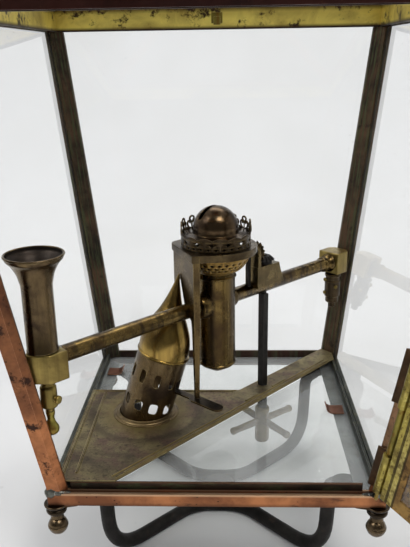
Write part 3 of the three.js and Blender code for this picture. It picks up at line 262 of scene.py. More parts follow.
# The front corner post darkens towards its top as painted shade.
FRONT_BAR = metal("front_bar_copper", "#ba7a50 #805238 #3a2821 #d69e78", (0.26, 0.5),
                  dark_share=(0.36, 0.62), stain_share=(0.55, 0.64), pits=1.0,
                  shade=(STAND + 55, STAND + 120, 0.55))
BLOCK_LOOK = metal("block_brass", "#a08c50 #726036 #4e4028 #d2c082", (0.24, 0.44), 0.04,
                   folds=0.25)
RING_LOOK = metal("ring_brass", "#766444 #4c4030 #302a22 #a08c5c", (0.3, 0.5))
PLATE_COPPER = metal("hinge_copper", "#624830 #3c2e22 #28221c #8c6c4c", (0.3, 0.5))
SOLDER_SMEAR = metal("smeared_solder", "#787870 #3a3c36 #242420 #dcdedc", (0.24, 0.46),
                     stain_share=(0.5, 0.6))
IRON = metal("wrought_iron", "#2c2926 #1a1816 #3c3028 #544e48", (0.42, 0.66), metallic=0.7,
             grain=0.6)
SOLDER = metal("solder", "#969896 #545450 #3c362e #dcdedc", (0.3, 0.5))
GLASS = glass("window_glass", 0.02, (0.988, 0.992, 0.99, 1.0))
BOTTOM_GLASS = glass("dusty_glass", 0.16, (0.97, 0.985, 0.98, 1.0), 0.5)


def inwards_from_face(look):
    """How far a point lies inwards from the lantern's outer right face, in metres."""
    grown = look.times(look.math("SUBTRACT", look.axis("Z"), STAND * MM), LEAN)
    half = look.math("ADD", grown, BASE / 2 * MM)
    return look.math("SUBTRACT", half, look.axis("X"))


def rear_bar_look():
    """A corner bar with folds and stains that run along it."""
    look = Look("rear_bar_metal")
    base, dark, green, line = "#604a38", "#2c2620", "#4e543a", "#26221c"
    clouds = look.clouds(26)
    blots = look.blots(80, Location=BLOTS_AT)
    across = look.math("SUBTRACT", look.math("ABSOLUTE", look.axis("X")),
                       look.math("ABSOLUTE", look.axis("Y")))
    spread = look.node("ShaderNodeCombineXYZ", {
        0: across, 1: look.times(look.axis("Z"), 0.06)}).outputs[0]
    folds = look.noise(300, 3, 0.6, at=spread)
    lines = look.noise(520, 2, 0.5, at=spread)
    color = look.over(base, dark, clouds, 0.38, 0.66)
    color = look.over(color, green, folds, 0.5, 0.58, 0.85)
    color = look.over(color, line, lines, 0.6, 0.66, 0.8)
    color = look.over(color, dark, blots, 0.56, 0.66, 0.8)
    color = look.mix(look.times(look.edges(), 0.7), color, "#96825c")
    relief = look.math("ADD", folds, look.times(blots, 0.3))
    return look.surface(color, look.dulled(clouds, 0.3, 0.55), 0.8, relief, 0.5, 0.001)


def door_post_look():
    """The hinge side's bar: stained copper on the inner fold, mottled brass on its face, painted shade in
    the crease between them.
    """
    look = Look("door_post_metal")
    clouds = look.clouds(40, 5, 0.65, 0.5)
    flecks = look.noise(240, 5, 0.7)
    gold = look.over("#b09e4e", "#685c32", clouds, 0.4, 0.6)
    gold = look.over(gold, "#cec06e", flecks, 0.56, 0.66, 0.8)
    gold = look.over(gold, "#423620", flecks, 0.44, 0.36, 0.8)
    brown = look.over("#927052", "#544030", clouds, 0.4, 0.62)
    brown = look.over(brown, "#382c24", flecks, 0.56, 0.66, 0.7)
    inwards = inwards_from_face(look)
    color = look.over(gold, brown, inwards, 0.0062, 0.0067)
    # Painted shade in the crease between the brass face and the copper fold.
    crease = look.band(inwards, (0.0054, 0.0060), (0.0070, 0.0065))
    color = look.mix(look.times(crease, 0.85), color, "#2c221a")
    return look.surface(color, look.dulled(clouds, 0.28, 0.5), 0.85, flecks, 0.4, 0.0006)


def door_look():
    """Mottled brass in bands beside the hinge: fold, dark crease, bright strip, brown strip. The dark
    creases are painted shade.
    """
    look = Look("door_metal")
    clouds = look.clouds(40, 5, 0.65, 0.5)
    flecks = look.noise(220, 5, 0.7)
    closed = Vector((-1, 0, 0))
    out = (closed - HINGE * closed.dot(HINGE)).normalized()
    out = Matrix.Rotation(math.radians(135), 3, HINGE) @ out
    foot = (HINGE_FOOT + Vector((0, 0, STAND))) * MM
    away = look.vector("SUBTRACT", look.place, foot, "Vector")
    reach = look.vector("DOT_PRODUCT", away, out)
    gold = look.over("#ac9c4e", "#6c5e32", clouds, 0.4, 0.6)
    gold = look.over(gold, "#cec070", flecks, 0.54, 0.66, 0.8)
    gold = look.over(gold, "#4a3820", flecks, 0.45, 0.36, 0.85)
    brown = look.over("#967642", "#60482c", clouds, 0.4, 0.6)
    brown = look.over(brown, "#3c2e20", flecks, 0.54, 0.64, 0.8)
    color = look.over(gold, brown, reach, 0.0150, 0.0158)
    bright = look.band(reach, (0.0104, 0.0108), (0.0150, 0.0144))
    color = look.mix(look.times(bright, look.ramp(flecks, 0.4, 0.6, 0.1, 0.6)), color, "#cebe76")
    # Painted shade in the creases on either side of the bright strip.
    for low, high in ((0.0088, 0.0106), (0.0146, 0.0160)):
        crease = look.band(reach, (low - 0.0004, low), (high + 0.0004, high))
        color = look.mix(look.times(crease, 0.8), color, "#2e241a")
    return look.surface(color, look.dulled(clouds, 0.28, 0.5), 0.85, flecks, 0.4, 0.0006)


def front_rail_look():
    """Bright copper face with painted shade along its bottom, a dark upstand, and a pale line along the top
    of the ledge, partly dirt and partly painted highlight.
    """
    look = Look("front_rail_metal")
    clouds = look.clouds(24)
    blots = look.blots(90, Scale=(0.3, 1, 1), Location=BLOTS_AT)
    holes = look.ramp(look.spots(210, at=look.mapping(Scale=(0.6, 1, 1))), 0.14, 0.06)
    height = look.math("SUBTRACT", look.axis("Z"), STAND * MM)
    face = look.over("#b6784e", "#7c4e34", clouds, 0.38, 0.6)
    face = look.over(face, "#54382a", blots, 0.58, 0.68)
    face = look.mix(look.times(holes, look.ramp(clouds, 0.42, 0.5)), face, "#2c1e18")
    # Painted shade along the bottom of the face.
    face = look.over(face, "#563a2a", height, -0.0142, -0.0168, 0.65)
    # Pale line along the top of the face: partly dirt, partly painted highlight.
    face = look.over(face, "#d6b08c", height, -0.0086, -0.0070, 0.85)
    raised = look.over("#423428", "#28221c", clouds, 0.4, 0.62)
    raised = look.over(raised, "#464c34", blots, 0.5, 0.6, 0.8)
    raised = look.over(raised, "#6e4e3a", height, -0.0010, 0.0000, 0.6)
    color = look.over(face, raised, height, -0.0068, -0.0062)
    return look.surface(color, look.dulled(clouds, 0.28, 0.5), 0.85, blots, 0.3, 0.0005, 0.0012)


def side_rail_look():
    """Grey zinc with a nearly black, greenish upstand."""
    look = Look("side_rail_metal")
    clouds = look.clouds(30)
    blots = look.blots(90)
    height = look.math("SUBTRACT", look.axis("Z"), STAND * MM)
    flat = look.over("#7e8280", "#545854", clouds, 0.4, 0.66)
    flat = look.over(flat, "#38362e", blots, 0.6, 0.68, 0.7)
    raised = look.over("#3a3c34", "#242621", clouds, 0.4, 0.62)
    raised = look.over(raised, "#605c42", blots, 0.52, 0.62, 0.8)
    color = look.over(flat, raised, height, -0.0082, -0.0070)
    color = look.mix(look.times(look.edges(), 0.6), color, "#a0a4a0")
    return look.surface(color, look.dulled(clouds, 0.36, 0.6), 0.6, blots, 0.3, 0.0005)


def rim_look():
    """Dark copper outside, darkened as painted shade of the shadowed underside, with stains; olive brass
    inside, dark along its upper and lower edges.
    """
    look = Look("eaves_metal")
    clouds = look.clouds(24)
    blots = look.blots(60, Location=BLOTS_AT)
    fine = look.noise(900, 3, 0.5)
    height, eaves = look.axis("Z"), STAND + HEIGHT
    # The outer copper is dark as painted shade of the rim's shadowed underside.
    outer = look.over("#4a2c26", "#2e1d1b", clouds, 0.4, 0.7)
    outer = look.over(outer, "#603e2e", blots, 0.58, 0.7)
    inner = look.over("#e8d66c", "#b09c4c", clouds, 0.42, 0.66)
    inner = look.over(inner, "#3e301c", blots, 0.54, 0.62)
    inner = look.over(inner, "#34261c", height, (eaves + 4) * MM, (eaves + 1) * MM)
    inner = look.over(inner, "#3c2a1a", height, (eaves + 17) * MM, (eaves + 22) * MM)
    across = look.math("MAXIMUM", look.math("ABSOLUTE", look.axis("X")),
                       look.math("ABSOLUTE", look.axis("Y")))
    inside = look.ramp(across, (EAVES / 2 - 8) * MM, (EAVES / 2 - 9) * MM)
    relief = look.math("ADD", blots, look.times(fine, 0.3))
    return look.surface(look.mix(inside, outer, inner), look.dulled(clouds, 0.3, 0.5),
                        look.ramp(inside, 0.0, 1.0, 0.9, 0.62), relief, 0.3, 0.0006)


def plate_look():
    """Tarnished olive brass, browner in the middle, with a stained ring round the torch guide."""
    look = Look("tarnished_plate")
    clouds = look.clouds(16, 6, 0.65, 0.5)
    blots = look.blots(48, Location=(1.3, 4.7, 2.2))
    fine = look.noise(700, 3, 0.6)
    color = look.over("#847854", "#504638", clouds, 0.4, 0.62)
    color = look.over(color, "#5e4840", blots, 0.48, 0.62, 0.85)
    color = look.over(color, "#322c24", look.noise(160, 5, 0.7), 0.54, 0.66, 0.75)
    color = look.over(color, "#302a22", fine, 0.54, 0.7, 0.7)
    guide = (-69.5 * MM, -17 * MM, (STAND + 1.5) * MM)
    reach = look.math("ADD", look.vector("DISTANCE", look.place, guide),
                      look.times(look.math("SUBTRACT", clouds, 0.5), 0.02))
    color = look.over(color, "#78683c", reach, 0.050, 0.028, 0.75)
    ring = look.band(reach, (0.046, 0.050), (0.060, 0.053))
    color = look.mix(look.times(ring, 0.6), color, "#403628")
    color = look.mix(look.times(look.edges(0.0009), 0.8), color, "#a89864")
    relief = look.math("ADD", blots, fine)
    return look.surface(color, look.dulled(clouds, 0.42, 0.64), 0.72, relief, 0.25, 0.0005)


def cotton_look():
    look = Look("wick_cotton")
    weave = look.node("ShaderNodeTexWave", {"Vector": look.place, "Scale": 900},
                      wave_type="BANDS", bands_direction="DIAGONAL").outputs["Fac"]
    color = look.over("#beb298", "#605442", look.noise(300), 0.3, 0.7)
    return look.surface(color, 0.95, 0.0, weave, 0.6, 0.0004, 0)


REAR_BAR, DOOR_POST = rear_bar_look(), door_post_look()
SIDE_RAIL = side_rail_look()
NODE_LOOK = {
    "base_rail_front": front_rail_look(), "base_rail_right": SIDE_RAIL, "base_rail_rear": PATINA,
    "base_rail_left": SIDE_RAIL, "post_front_left": FRONT_BAR, "post_rear_right": REAR_BAR,
    "post_rear_left": REAR_BAR, "eaves_rim": rim_look(), "roof_frame": COPPER,
    "base_plate": plate_look(), "wick": cotton_look(), "gear_bracket": AGED, "wick_shaft": IRON,
    "bevel_pinion": IRON, "door_frame": door_look(), "hinge_pin": GOLD, "turn_button": BRASS,
}
for name, node in NODES.items():
    look = NODE_LOOK.get(name, SOOTY)
    if name.startswith("bottom_glass"):
        look = BOTTOM_GLASS
    elif "pane" in name or name == "door_glass":
        look = GLASS
    for slot in node.material_slots:
        slot.material = look

# ---------------------------------------------------------------- shapes

class Shape:
    """Vertices and faces in millimetres."""

    def __init__(self, verts=(), faces=()):
        self.verts = [Vector(v) for v in verts]
        self.faces = [tuple(f) for f in faces]

    def add(self, other, matrix=Matrix()):
        start = len(self.verts)
        self.verts += [matrix @ v for v in other.verts]
        self.faces += [tuple(i + start for i in face) for face in other.faces]
        return self

    def moved(self, matrix):
        return Shape([matrix @ v for v in self.verts], self.faces)


def mesh_object(name, verts, faces, material=None, merge=0.0):
    """Add a mesh with outward faces; points closer than merge become one."""
    data = bpy.data.meshes.new(name)
    data.from_pydata([tuple(v) for v in verts], [], faces)
    mesh = bmesh.new()
    mesh.from_mesh(data)
    if merge:
        bmesh.ops.remove_doubles(mesh, verts=mesh.verts, dist=merge)
    bmesh.ops.recalc_face_normals(mesh, faces=mesh.faces)
    mesh.to_mesh(data)
    mesh.free()
    if material:
        data.materials.append(material)
    obj = bpy.data.objects.new(name, data)
    scene.collection.objects.link(obj)
    return obj


def emit(name, shape, material, node=None, at=LANTERN, body="lantern", sharp=32.0,
         bevel=0.0, thick=0.0, merge=True):
    """Make a piece from a shape, ride it on a body and let it stand for a CAD node."""
    verts = [(at @ v) * MM for v in shape.verts]
    obj = mesh_object(name, verts, shape.faces, material, 2e-5 if merge else 0.0)
    for face in obj.data.polygons:
        face.use_smooth = True
    obj.data.set_sharp_from_angle(angle=math.radians(sharp))
    if thick:
        solid = obj.modifiers.new("thickness", "SOLIDIFY")
        solid.thickness = thick * MM
        solid.offset = 0
    if bevel:
        round_off = obj.modifiers.new("edges", "BEVEL")
        round_off.width = bevel * MM
        round_off.segments = 2
        round_off.limit_method = "ANGLE"
        round_off.angle_limit = math.radians(40)
    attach(obj, body)
    if node:
        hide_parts(node)


def carve(shape, *cutters):
    """Cut shapes out of a shape, through throwaway objects."""
    made = [mesh_object("scratch", part.verts, part.faces, merge=1e-4) for part in (shape,) + cutters]
    for tool in made[1:]:
        modifier = made[0].modifiers.new("cut", "BOOLEAN")
        modifier.operation = "DIFFERENCE"
        modifier.solver = "EXACT"
        modifier.object = tool
    seen = made[0].evaluated_get(bpy.context.evaluated_depsgraph_get())
    data = seen.to_mesh()
    result = Shape([v.co.copy() for v in data.vertices], [list(p.vertices) for p in data.polygons])
    seen.to_mesh_clear()
    for obj in made:
        old = obj.data
        bpy.data.objects.remove(obj)
        bpy.data.meshes.remove(old)
    return result


def lathe(profile, steps=64, closed=False):
    """Turn [radius, height] points about Z; a closed profile makes a ring."""
    verts, faces, rows = [], [], []
    for radius, z in profile:
        if radius < 1e-6:
            rows.append([len(verts)] * steps)
            verts.append((0, 0, z))
            continue
        rows.append(list(range(len(verts), len(verts) + steps)))
        verts += [around(radius, 360 * i / steps, z) for i in range(steps)]
    for low, high in list(zip(rows, rows[1:])) + ([(rows[-1], rows[0])] if closed else []):
        for i in range(steps):
            j = (i + 1) % steps
            face = list(dict.fromkeys((low[i], low[j], high[j], high[i])))
            if len(face) > 2:
                faces.append(face)
    return Shape(verts, faces)


def around(radius, degrees, z):
    angle = math.radians(degrees)
    return Vector((radius * math.cos(angle), radius * math.sin(angle), z))


def arc(radius, start, end, steps, x=0.0, y=0.0):
    angles = [math.radians(start + (end - start) * i / steps) for i in range(steps + 1)]
    return [(x + radius * math.cos(a), y + radius * math.sin(a)) for a in angles]


def circle(radius, steps, x=0.0, y=0.0):
    return arc(radius, 0, 360, steps, x, y)[:-1]


def raised(height, points):
    return [(x, z + height) for x, z in points]


def curve(before, middle, after, t):
    return before * (1 - t) ** 2 + middle * 2 * t * (1 - t) + after * t * t


def rounded(points, radius, steps=3):
    """Round the inner corners of an open profile."""
    out = [points[0]]
    for before, middle, after in zip(points, points[1:], points[2:]):
        p, m, n = Vector(before), Vector(middle), Vector(after)
        a = m + (p - m).normalized() * min(radius, (p - m).length * 0.45)
        b = m + (n - m).normalized() * min(radius, (n - m).length * 0.45)
        out += [tuple(curve(a, m, b, i / steps)) for i in range(steps + 1)]
    return out + [points[-1]]


def spline(points, steps=4):
    """Smooth curve through points of any dimension."""
    pts = [Vector(p) for p in points]
    pts = [2 * pts[0] - pts[1]] + pts + [2 * pts[-1] - pts[-2]]
    out = []
    for a, b, c, d in zip(pts, pts[1:], pts[2:], pts[3:]):
        for i in range(steps):
            t = i / steps
            out.append(0.5 * (2 * b + (c - a) * t + (2 * a - 5 * b + 4 * c - d) * t * t
                              + (3 * b - a - 3 * c + d) * t ** 3))
    return out + [pts[-2]]


def skin(rings):
    """Faces between equal rings of points."""
    count = len(rings[0])
    faces = []
    for low in range(0, (len(rings) - 1) * count, count):
        for i in range(count):
            a, b = low + i, low + (i + 1) % count
            faces.append((a, b, b + count, a + count))
    return Shape([p for ring in rings for p in ring], faces)


def capped(rings):
    """A solid: the skin between rings, and a face at each end."""
    shape, count = skin(rings), len(rings[0])
    last = len(shape.verts) - count
    shape.faces += [tuple(range(count - 1, -1, -1)), tuple(range(last, last + count))]
    return shape


def sweep(path, section):
    """Carry a closed section of [side, up] points along a path without twist."""
    path = [Vector(p) for p in path]
    tangent = (path[1] - path[0]).normalized()
    side = tangent.orthogonal().normalized()
    if abs(tangent.z) < 0.95:
        side = tangent.cross(UP).normalized()
    rings = []
    for i, point in enumerate(path):
        ahead = path[min(i + 1, len(path) - 1)] - path[max(i - 1, 0)]
        ahead.normalize()
        side = tangent.rotation_difference(ahead) @ side
        side = (side - ahead * side.dot(ahead)).normalized()
        tangent = ahead
        rise = side.cross(ahead)
        rings.append([point + side * x + rise * y for x, y in section])
    return capped(rings)


def tube(path, radius, steps=12):
    return sweep(path, circle(radius, steps))


def prism(outline, low, high):
    """Raise a flat outline between two heights."""
    return capped([[(x, y, z) for x, y in outline] for z in (low, high)])


def box(x0, x1, y0, y1, z0, z1):
    return prism([(x0, y0), (x1, y0), (x1, y1), (x0, y1)], z0, z1)


def pierced(rows, place, columns):
    """A sheet round an axis. Each row is (low, high, cells, first angle, hole), where a hole is
    (half width in degrees, half height, roundness) or None."""
    verts, faces = [], []

    def quad(points):
        faces.append(tuple(range(len(verts), len(verts) + 4)))
        verts.extend(place(*p) for p in points)

    for low, high, cells, first, hole in rows:
        half, middle, rise = 180.0 / cells, (low + high) / 2, (high - low) / 2
        for i in range(cells):
            centre = first + i * 2 * half
            if hole is None:
                for k in range(columns):
                    a, b = (centre - half + 2 * half * n / columns for n in (k, k + 1))
                    quad([(a, low), (b, low), (b, high), (a, high)])
                continue
            wide, tall, power = hole
            outer, inner = [], []
            for c, s in circle(1, 32):
                reach = max(abs(c), abs(s))
                outer.append((centre + half * c / reach, middle + rise * s / reach))
                inner.append((centre + wide * math.copysign(abs(c) ** power, c),
                              middle + tall * math.copysign(abs(s) ** power, s)))
            for k in range(32):
                m = (k + 1) % 32
                quad([outer[k], outer[m], inner[m], inner[k]])
    return Shape(verts, faces)


# ---------------------------------------------------------------- base and bracket

UP = Vector((0, 0, 1))
PAD_TOP = -12.6        # just under the flange of the rails
BALL_TOP = -17.8       # just under the rails


def bent_path(points, bends, steps=9):
    path = [points[0]]
    for before, middle, after, bend in zip(points, points[1:], points[2:], bends):
        start = middle + (before - middle).normalized() * bend
        end = middle + (after - middle).normalized() * bend
        path += [curve(start, middle, end, k / steps) for k in range(steps + 1)]
    return path + [points[-1]]


def even(path, step):
    """Points at equal distances along a path."""
    out, left = [path[0]], step
    for a, b in zip(path, path[1:]):
        length = (b - a).length
        at = left
        while at < length:
            out.append(a.lerp(b, at / length))
            at += step
        left = at - length
    if (out[-1] - path[-1]).length < 0.3 * step:
        out.pop()
    return out + [path[-1]]


def bracket(name, seed, angle):
    """A forged bar that hangs from two pads and meets the other one at the boss."""
    bar, sides, pad_at = 6.4, 24, 109
    low, top = -STAND + bar - 0.5, PAD_TOP - bar

    def leg(side):
        return [Vector((side * r, -r, 0)) / math.sqrt(2) + z * UP for r, z in (
            (pad_at * math.sqrt(2), top), (138.5, top - 1), (134.5, low), (24 * math.sqrt(2), low))]

    path = even(bent_path(leg(-1) + leg(1)[::-1], [9, 37, 18, 18, 37, 9]), 3.0)
    chance = random.Random(seed)
    shape = tube(path, bar, sides)
    for i, v in enumerate(shape.verts):
        centre = path[i // sides]
        v = centre + (v - centre) * (1 - 0.02 * chance.random())
        shape.verts[i] = Vector((v.x, v.y, min(max(v.z, -STAND), PAD_TOP)))
    pad = lathe(rounded(raised(PAD_TOP, [(0, -5), (12.5, -5), (12.5, 0), (0, 0)]), 0.9), 40)
    for x in (-pad_at, pad_at):
        shape.add(pad, shift(x, -pad_at, 0))
    emit("iron_" + name, shape, IRON, name, LANTERN @ turn(angle), merge=False)


bracket("bracket_front", 7, 0)
bracket("bracket_rear", 8, 180)
boss = lathe(rounded(raised(-STAND, [(0, 0), (17.3, 0), (17.3, 14), (0, 14)]), 1.6, 5), 48)
emit("iron_boss", boss, IRON, "bracket_boss")

# Saucer, rounded collar and a ball with a band round its middle
profile = [(0, 0), (9.4, 0), (9.9, -0.5), (9.8, -1.4), (9.0, -2.4), (8.2, -3.4)]
profile += arc(2.8, 68, -70, 8, 5.8, -6.6) + [(5.4, -9.8), (5.0, -11), (5.0, -12.6), (5.5, -14)]
profile += arc(8.1, 62, 8, 9, 0, -22) + [(8.4, -21.2), (8.45, -22), (8.4, -22.8)]
profile += arc(8.1, -8, -84, 12, 0, -22) + [(0, -30.5)]
for corner, x, y in (("front_left", -1, -1), ("front_right", 1, -1),
                     ("rear_right", 1, 1), ("rear_left", -1, 1)):
    ball = lathe(raised(BALL_TOP, profile), 48).moved(shift(x * 131.5, y * 131.5, 0))
    emit("ball_" + corner, ball, BALL, "corner_ball_" + corner, sharp=40)

# Small tapered plates under the front rail, beside the balls
outline = [(136.4, -17.7), (111.5, -17.7), (113.5, -18.6), (124, -20.2), (127, -21.2), (135.5, -21.2)]
for name, x in (("left", -1), ("right", 1)):
    plate = capped([[(x * u, y, z) for u, z in outline] for y in (-136.6, -124)])
    emit("gusset_" + name, plate, PLATE_COPPER, bevel=0.4, sharp=50)

# ---------------------------------------------------------------- torch guide

FOOT = Vector((-69.5, -17, 1.8))
BEAD = Vector((-51, -15, 62.3))
TIP = Vector((-34, -11, 140))
SLEEVE_LINE = (BEAD - FOOT).normalized()
SLEEVE = (BEAD - FOOT).length
LEANING = UP.rotation_difference(SLEEVE_LINE).to_matrix().to_4x4()


def flange_ring():
    ring = rounded([(24.5, -0.3), (30.6, -0.3), (30.4, 0.5), (28.6, 0.9), (27.6, 1.9), (25.6, 2.3),
                    (24.5, 3.2), (24.5, -0.3)], 0.5)
    at = Matrix.Translation(FOOT + Vector((0.2, 0, 0))) @ Matrix.Scale(1.035, 4, (1, 0, 0))
    emit("guide_ring", lathe(ring, 72).moved(at), RING_LOOK, "guide_flange")


def slot_cutter(width, height, centre, angle):
    """A rounded slot through the sleeve's wall; its angle counts from the front."""
    outline = [(width / 2 * math.copysign(abs(c) ** 0.5, c), height / 2 * math.copysign(abs(t) ** 0.6, t))
               for c, t in circle(1, 20)]
    return prism(outline, 15, 30).moved(turn(angle - 90) @ shift(0, 0, centre) @ ALONG_X @ turn(90))


def guide_sleeve():
    """A leaning sleeve with two rows of slots, cut off at the plate, and a gate for the lift bar."""
    ring = [(23, -24), (24, -24), (24, 0.4 * SLEEVE), (24, SLEEVE - 0.1), (23, SLEEVE - 0.1)]
    slots = Shape()
    for i in range(10):
        if i != 2:
            slots.add(slot_cutter(6, 13.5, 0.7 * SLEEVE, 4 + 36 * i))
        slots.add(slot_cutter(8.2, 10.5, 0.25 * SLEEVE, 13 + 36 * i))
    leaning = carve(lathe(ring, 72, True), slots).moved(Matrix.Translation(FOOT) @ LEANING)
    start, end = Vector((-52, -12)), Vector((5, -59.5))
    run = (end - start).normalized()
    side = Vector((-run.y, run.x)) * 4.6
    gate = prism([start - side, start + 40 * run - side, start + 40 * run + side, start + side], 25.6, 39.4)
    below = box(-120, -20, -70, 40, -40, FOOT.z)
    emit("guide_tube", carve(leaning, gate, below), SLEEVE_LOOK, "guide_sleeve")


def guide_hood():
    """A pointed hood that bends over, with a seam up its front and a bead where it starts."""
    shares = spline([(0, 1), (0.12, 1), (0.26, 0.93), (0.4, 0.74), (0.55, 0.49), (0.7, 0.3),
                     (0.85, 0.15), (1, 0.02)], 5)
    to_tip = (TIP - BEAD).normalized()
    rings, seam, steps, seam_at = [], [], 56, 17
    for t, share in shares:
        spin = UP.rotation_difference(SLEEVE_LINE.lerp(to_tip, t).normalized()).to_matrix()
        centre = BEAD.lerp(TIP, t)
        lift = FIT if t == 0 else 0
        ring = [centre + spin @ Vector((x, y, lift)) for x, y in circle(max(24 * share - 0.5, 0.3), steps)]
        rings.append(ring)
        seam.append(ring[seam_at] + (ring[seam_at] - centre).normalized() * 0.5)
    shape = skin(rings)
    shape.faces.append(tuple(range(len(shape.verts) - steps, len(shape.verts))))
    emit("guide_cone", shape, HOOD_LOOK, "guide_hood", thick=1)
    emit("guide_seam", tube(seam[:-4], 0.45, 6), HOOD_LOOK)
    bead = lathe(circle(1.15, 14, 24.0, 1.7), 64, closed=True)
    emit("guide_bead", bead.moved(Matrix.Translation(BEAD) @ LEANING), HOOD_LOOK)


flange_ring()
guide_sleeve()
guide_hood()

# ---------------------------------------------------------------- tubes, blocks and fittings

TUBE_AT = 109.5
CUP_TOP = 140.0
CUP_LOW = 39.5
LEFT_FACE = -174.1 + FIT
RIGHT_FACE = 171.9
ON_TUBE = DIAGONAL @ shift(0, 0, TUBE_AT) @ ALONG_X


def tubes():
    left = raised(LEFT_FACE, [(0, 0), (9.6, 0), (8.4, 1.3), (7.5, 3.1), (7, 4.7)])
    left += [(7, -28.5), (7.4, -27.2), (8.8, -26.2), (10.8, -24.8), (11.7, -22.6), (12, -19),
             (12, -13.4), (0, -13.4)]
    emit("pipe_left", lathe(left, 40), TUBE, "left_tube", ON_TUBE)
    right = [(0, 14), (9.8, 14), (9.8, 19.4), (9.2, 20.6), (7.6, 21.4), (7, 22.4)]
    right += raised(RIGHT_FACE, [(7, -12), (8.2, -11.2), (8.4, -9.6), (8.2, -8.2), (7.3, -7.4), (7.3, -5),
                                 (8.2, -3.5), (9.4, -1.4), (10.2, -FIT), (0, -FIT)])
    emit("pipe_right", lathe(right, 40), TUBE, "right_tube", ON_TUBE)


def cup():
    foot = [(0, 0), (5.4, 0), (6.8, 0.7), (7.2, 2.2), (9.8, 3.2), (13.4, 4.6), (16.2, 6.4),
            (17.4, 7.6), (18.1, 8.6), (18.1, 9.6), (17.5, 10.3), (17.5, 20)]
    lip = [(17.5, -7), (17.7, -6.4)] + arc(1.5, -70, 70, 8, 17.2, -4.4) + [
        (17.5, -2.6), (17.5, -0.8), (17.2, -0.1), (0, 0)]
    pocket = box(-12.3, 12.3, 0.7, 3.3, CUP_TOP - 24, CUP_TOP + 5)
    body = carve(lathe(raised(CUP_LOW, foot) + raised(CUP_TOP, lip), 64), pocket)
    emit("oil_cup", body, TUBE, "burner_cup", DIAGONAL)
    seam = prism([(17.2, -0.45), (17.75, -0.3), (17.75, 0.3), (17.2, 0.45)], CUP_LOW + 15, CUP_TOP - 7)
    emit("cup_seam", seam, TUBE, at=LANTERN @ turn(-52))


def basket():
    """A pierced bowl between two rims, with a dark liner that paints the shade behind its holes."""
    points = spline(raised(CUP_TOP, [(19.6, 1.3), (23.5, 3.6), (26.6, 6.9), (29.0, 10.6), (30.6, 14.6),
                                     (31.4, 17.2)]), 6)
    sums = [0.0]
    for a, b in zip(points, points[1:]):
        sums.append(sums[-1] + (b - a).length)
    length = sums[-1]

    def at(s):
        i = next(i for i in range(len(points) - 1) if s <= sums[i + 1] or i == len(points) - 2)
        return points[i].lerp(points[i + 1], (s - sums[i]) / (sums[i + 1] - sums[i]))

    def place(angle, s):
        r, z = at(min(max(s, 0), length))
        return around(r, angle, z)

    cells, start, pitch = 28, length - 13.6, 3.5
    rows = [(0, start / 2, cells, 0, None), (start / 2, start, cells, 0, None)]
    for k in range(3):
        rows.append((start + k * pitch, start + (k + 1) * pitch, cells, 0 if k % 2 else 180 / cells,
                     (2.8, 1.35, 1.0)))
    rows.append((start + 3 * pitch, length, cells, 0, None))
    emit("basket_shell", pierced(rows, place, 8), BASKET_LOOK, "burner_basket", thick=0.9)
    # A dark sheet inside the bowl paints the shade seen through the holes.
    liner = [(p[0] - 2.0, p[1] + 1.0) for p in (at(length * k / 12) for k in range(13))]
    emit("basket_shade_liner", lathe(liner, 48), SHADE_LINER)
    floor = [(14.2, FIT), (18.6, FIT), (20.0, 0.9), (19.2, 1.7), (14.2, 1.2)]
    rim = [(30.2, 17), (31.9, 16.6), (32, 17.9), (30.2, 17.9)]
    rims = lathe(raised(CUP_TOP, floor), 64, True).add(lathe(raised(CUP_TOP, rim), 64, True))
    emit("basket_rims", rims, BASKET_LOOK)


def funnel():
    top, base = 195.0, 118.3
    flare = spline([(11.8, 150), (11.8, 168.8), (12.6, 174.2), (14.4, 180.7), (17.9, 187.2),
                    (21.2, 190.9), (21.9, 193.4)], 5)
    outer = raised(base, [(11.8, 0), (12.4, 0.6), (11.8, 1.6)]) + flare
    roll = arc(0.95, -100, 150, 10, 21.8, top - 0.95)
    inner = [(r - 1.0, z + 0.4) for r, z in flare][::-1]
    at = DIAGONAL @ shift(-184.6, 0, 0)
    body = lathe([(10.7, base)] + outer + roll, 64)
    emit("funnel_body", body, FUNNEL_LOOK, "filler_funnel", at)
    # The inside of the funnel uses the darker copy: painted shade.
    emit("funnel_lining", lathe([roll[-1]] + inner + [(10.7, base)], 64), SHADED_LINING, at=at)


def drain():
    """A valve with a side screw, and its knob below."""
    top, low, reach, length = 94.2, 66.2, 6.0, 21.0
    at = DIAGONAL @ shift(-183.29, 0, 0)
    profile = raised(low, [(0, 0), (3.5, 0), (3.7, 1.6), (4.3, 2.8), (6.0, 3.4), (6.9, 4.6), (7, 6),
                           (6.7, 12)])
    profile += raised(top, [(6.5, -8), (6.2, -7), (5.3, -6), (5.2, -1.6), (6.6, -0.6), (7, 0), (0, 0)])
    shape = lathe(rounded(profile, 0.6), 40)
    screw = rounded([(0, 0), (2, 0), (2, 8), (3.4, 8.3), (3.4, 10), (2.9, 10.6), (0, 10.6)], 0.4)
    shape.add(lathe(screw, 28), turn(-70) @ shift(0, 0, top - 17) @ ALONG_X)
    emit("drain_body", shape, BRASS, "drain_valve", at, merge=False)
    shares = spline([(0.6, 0), (0.6, 0.12), (0.48, 0.3), (0.63, 0.5), (0.93, 0.66), (1, 0.8), (0.83, 0.92),
                     (0.43, 1)], 5)
    knob = raised(low - FIT, [(0, 0)] + [(r * reach, -z * length) for r, z in shares] + [(0, -length)])
    emit("drain_grip", lathe(knob, 40), GOLD, "drain_knob", at, "drain_tap")


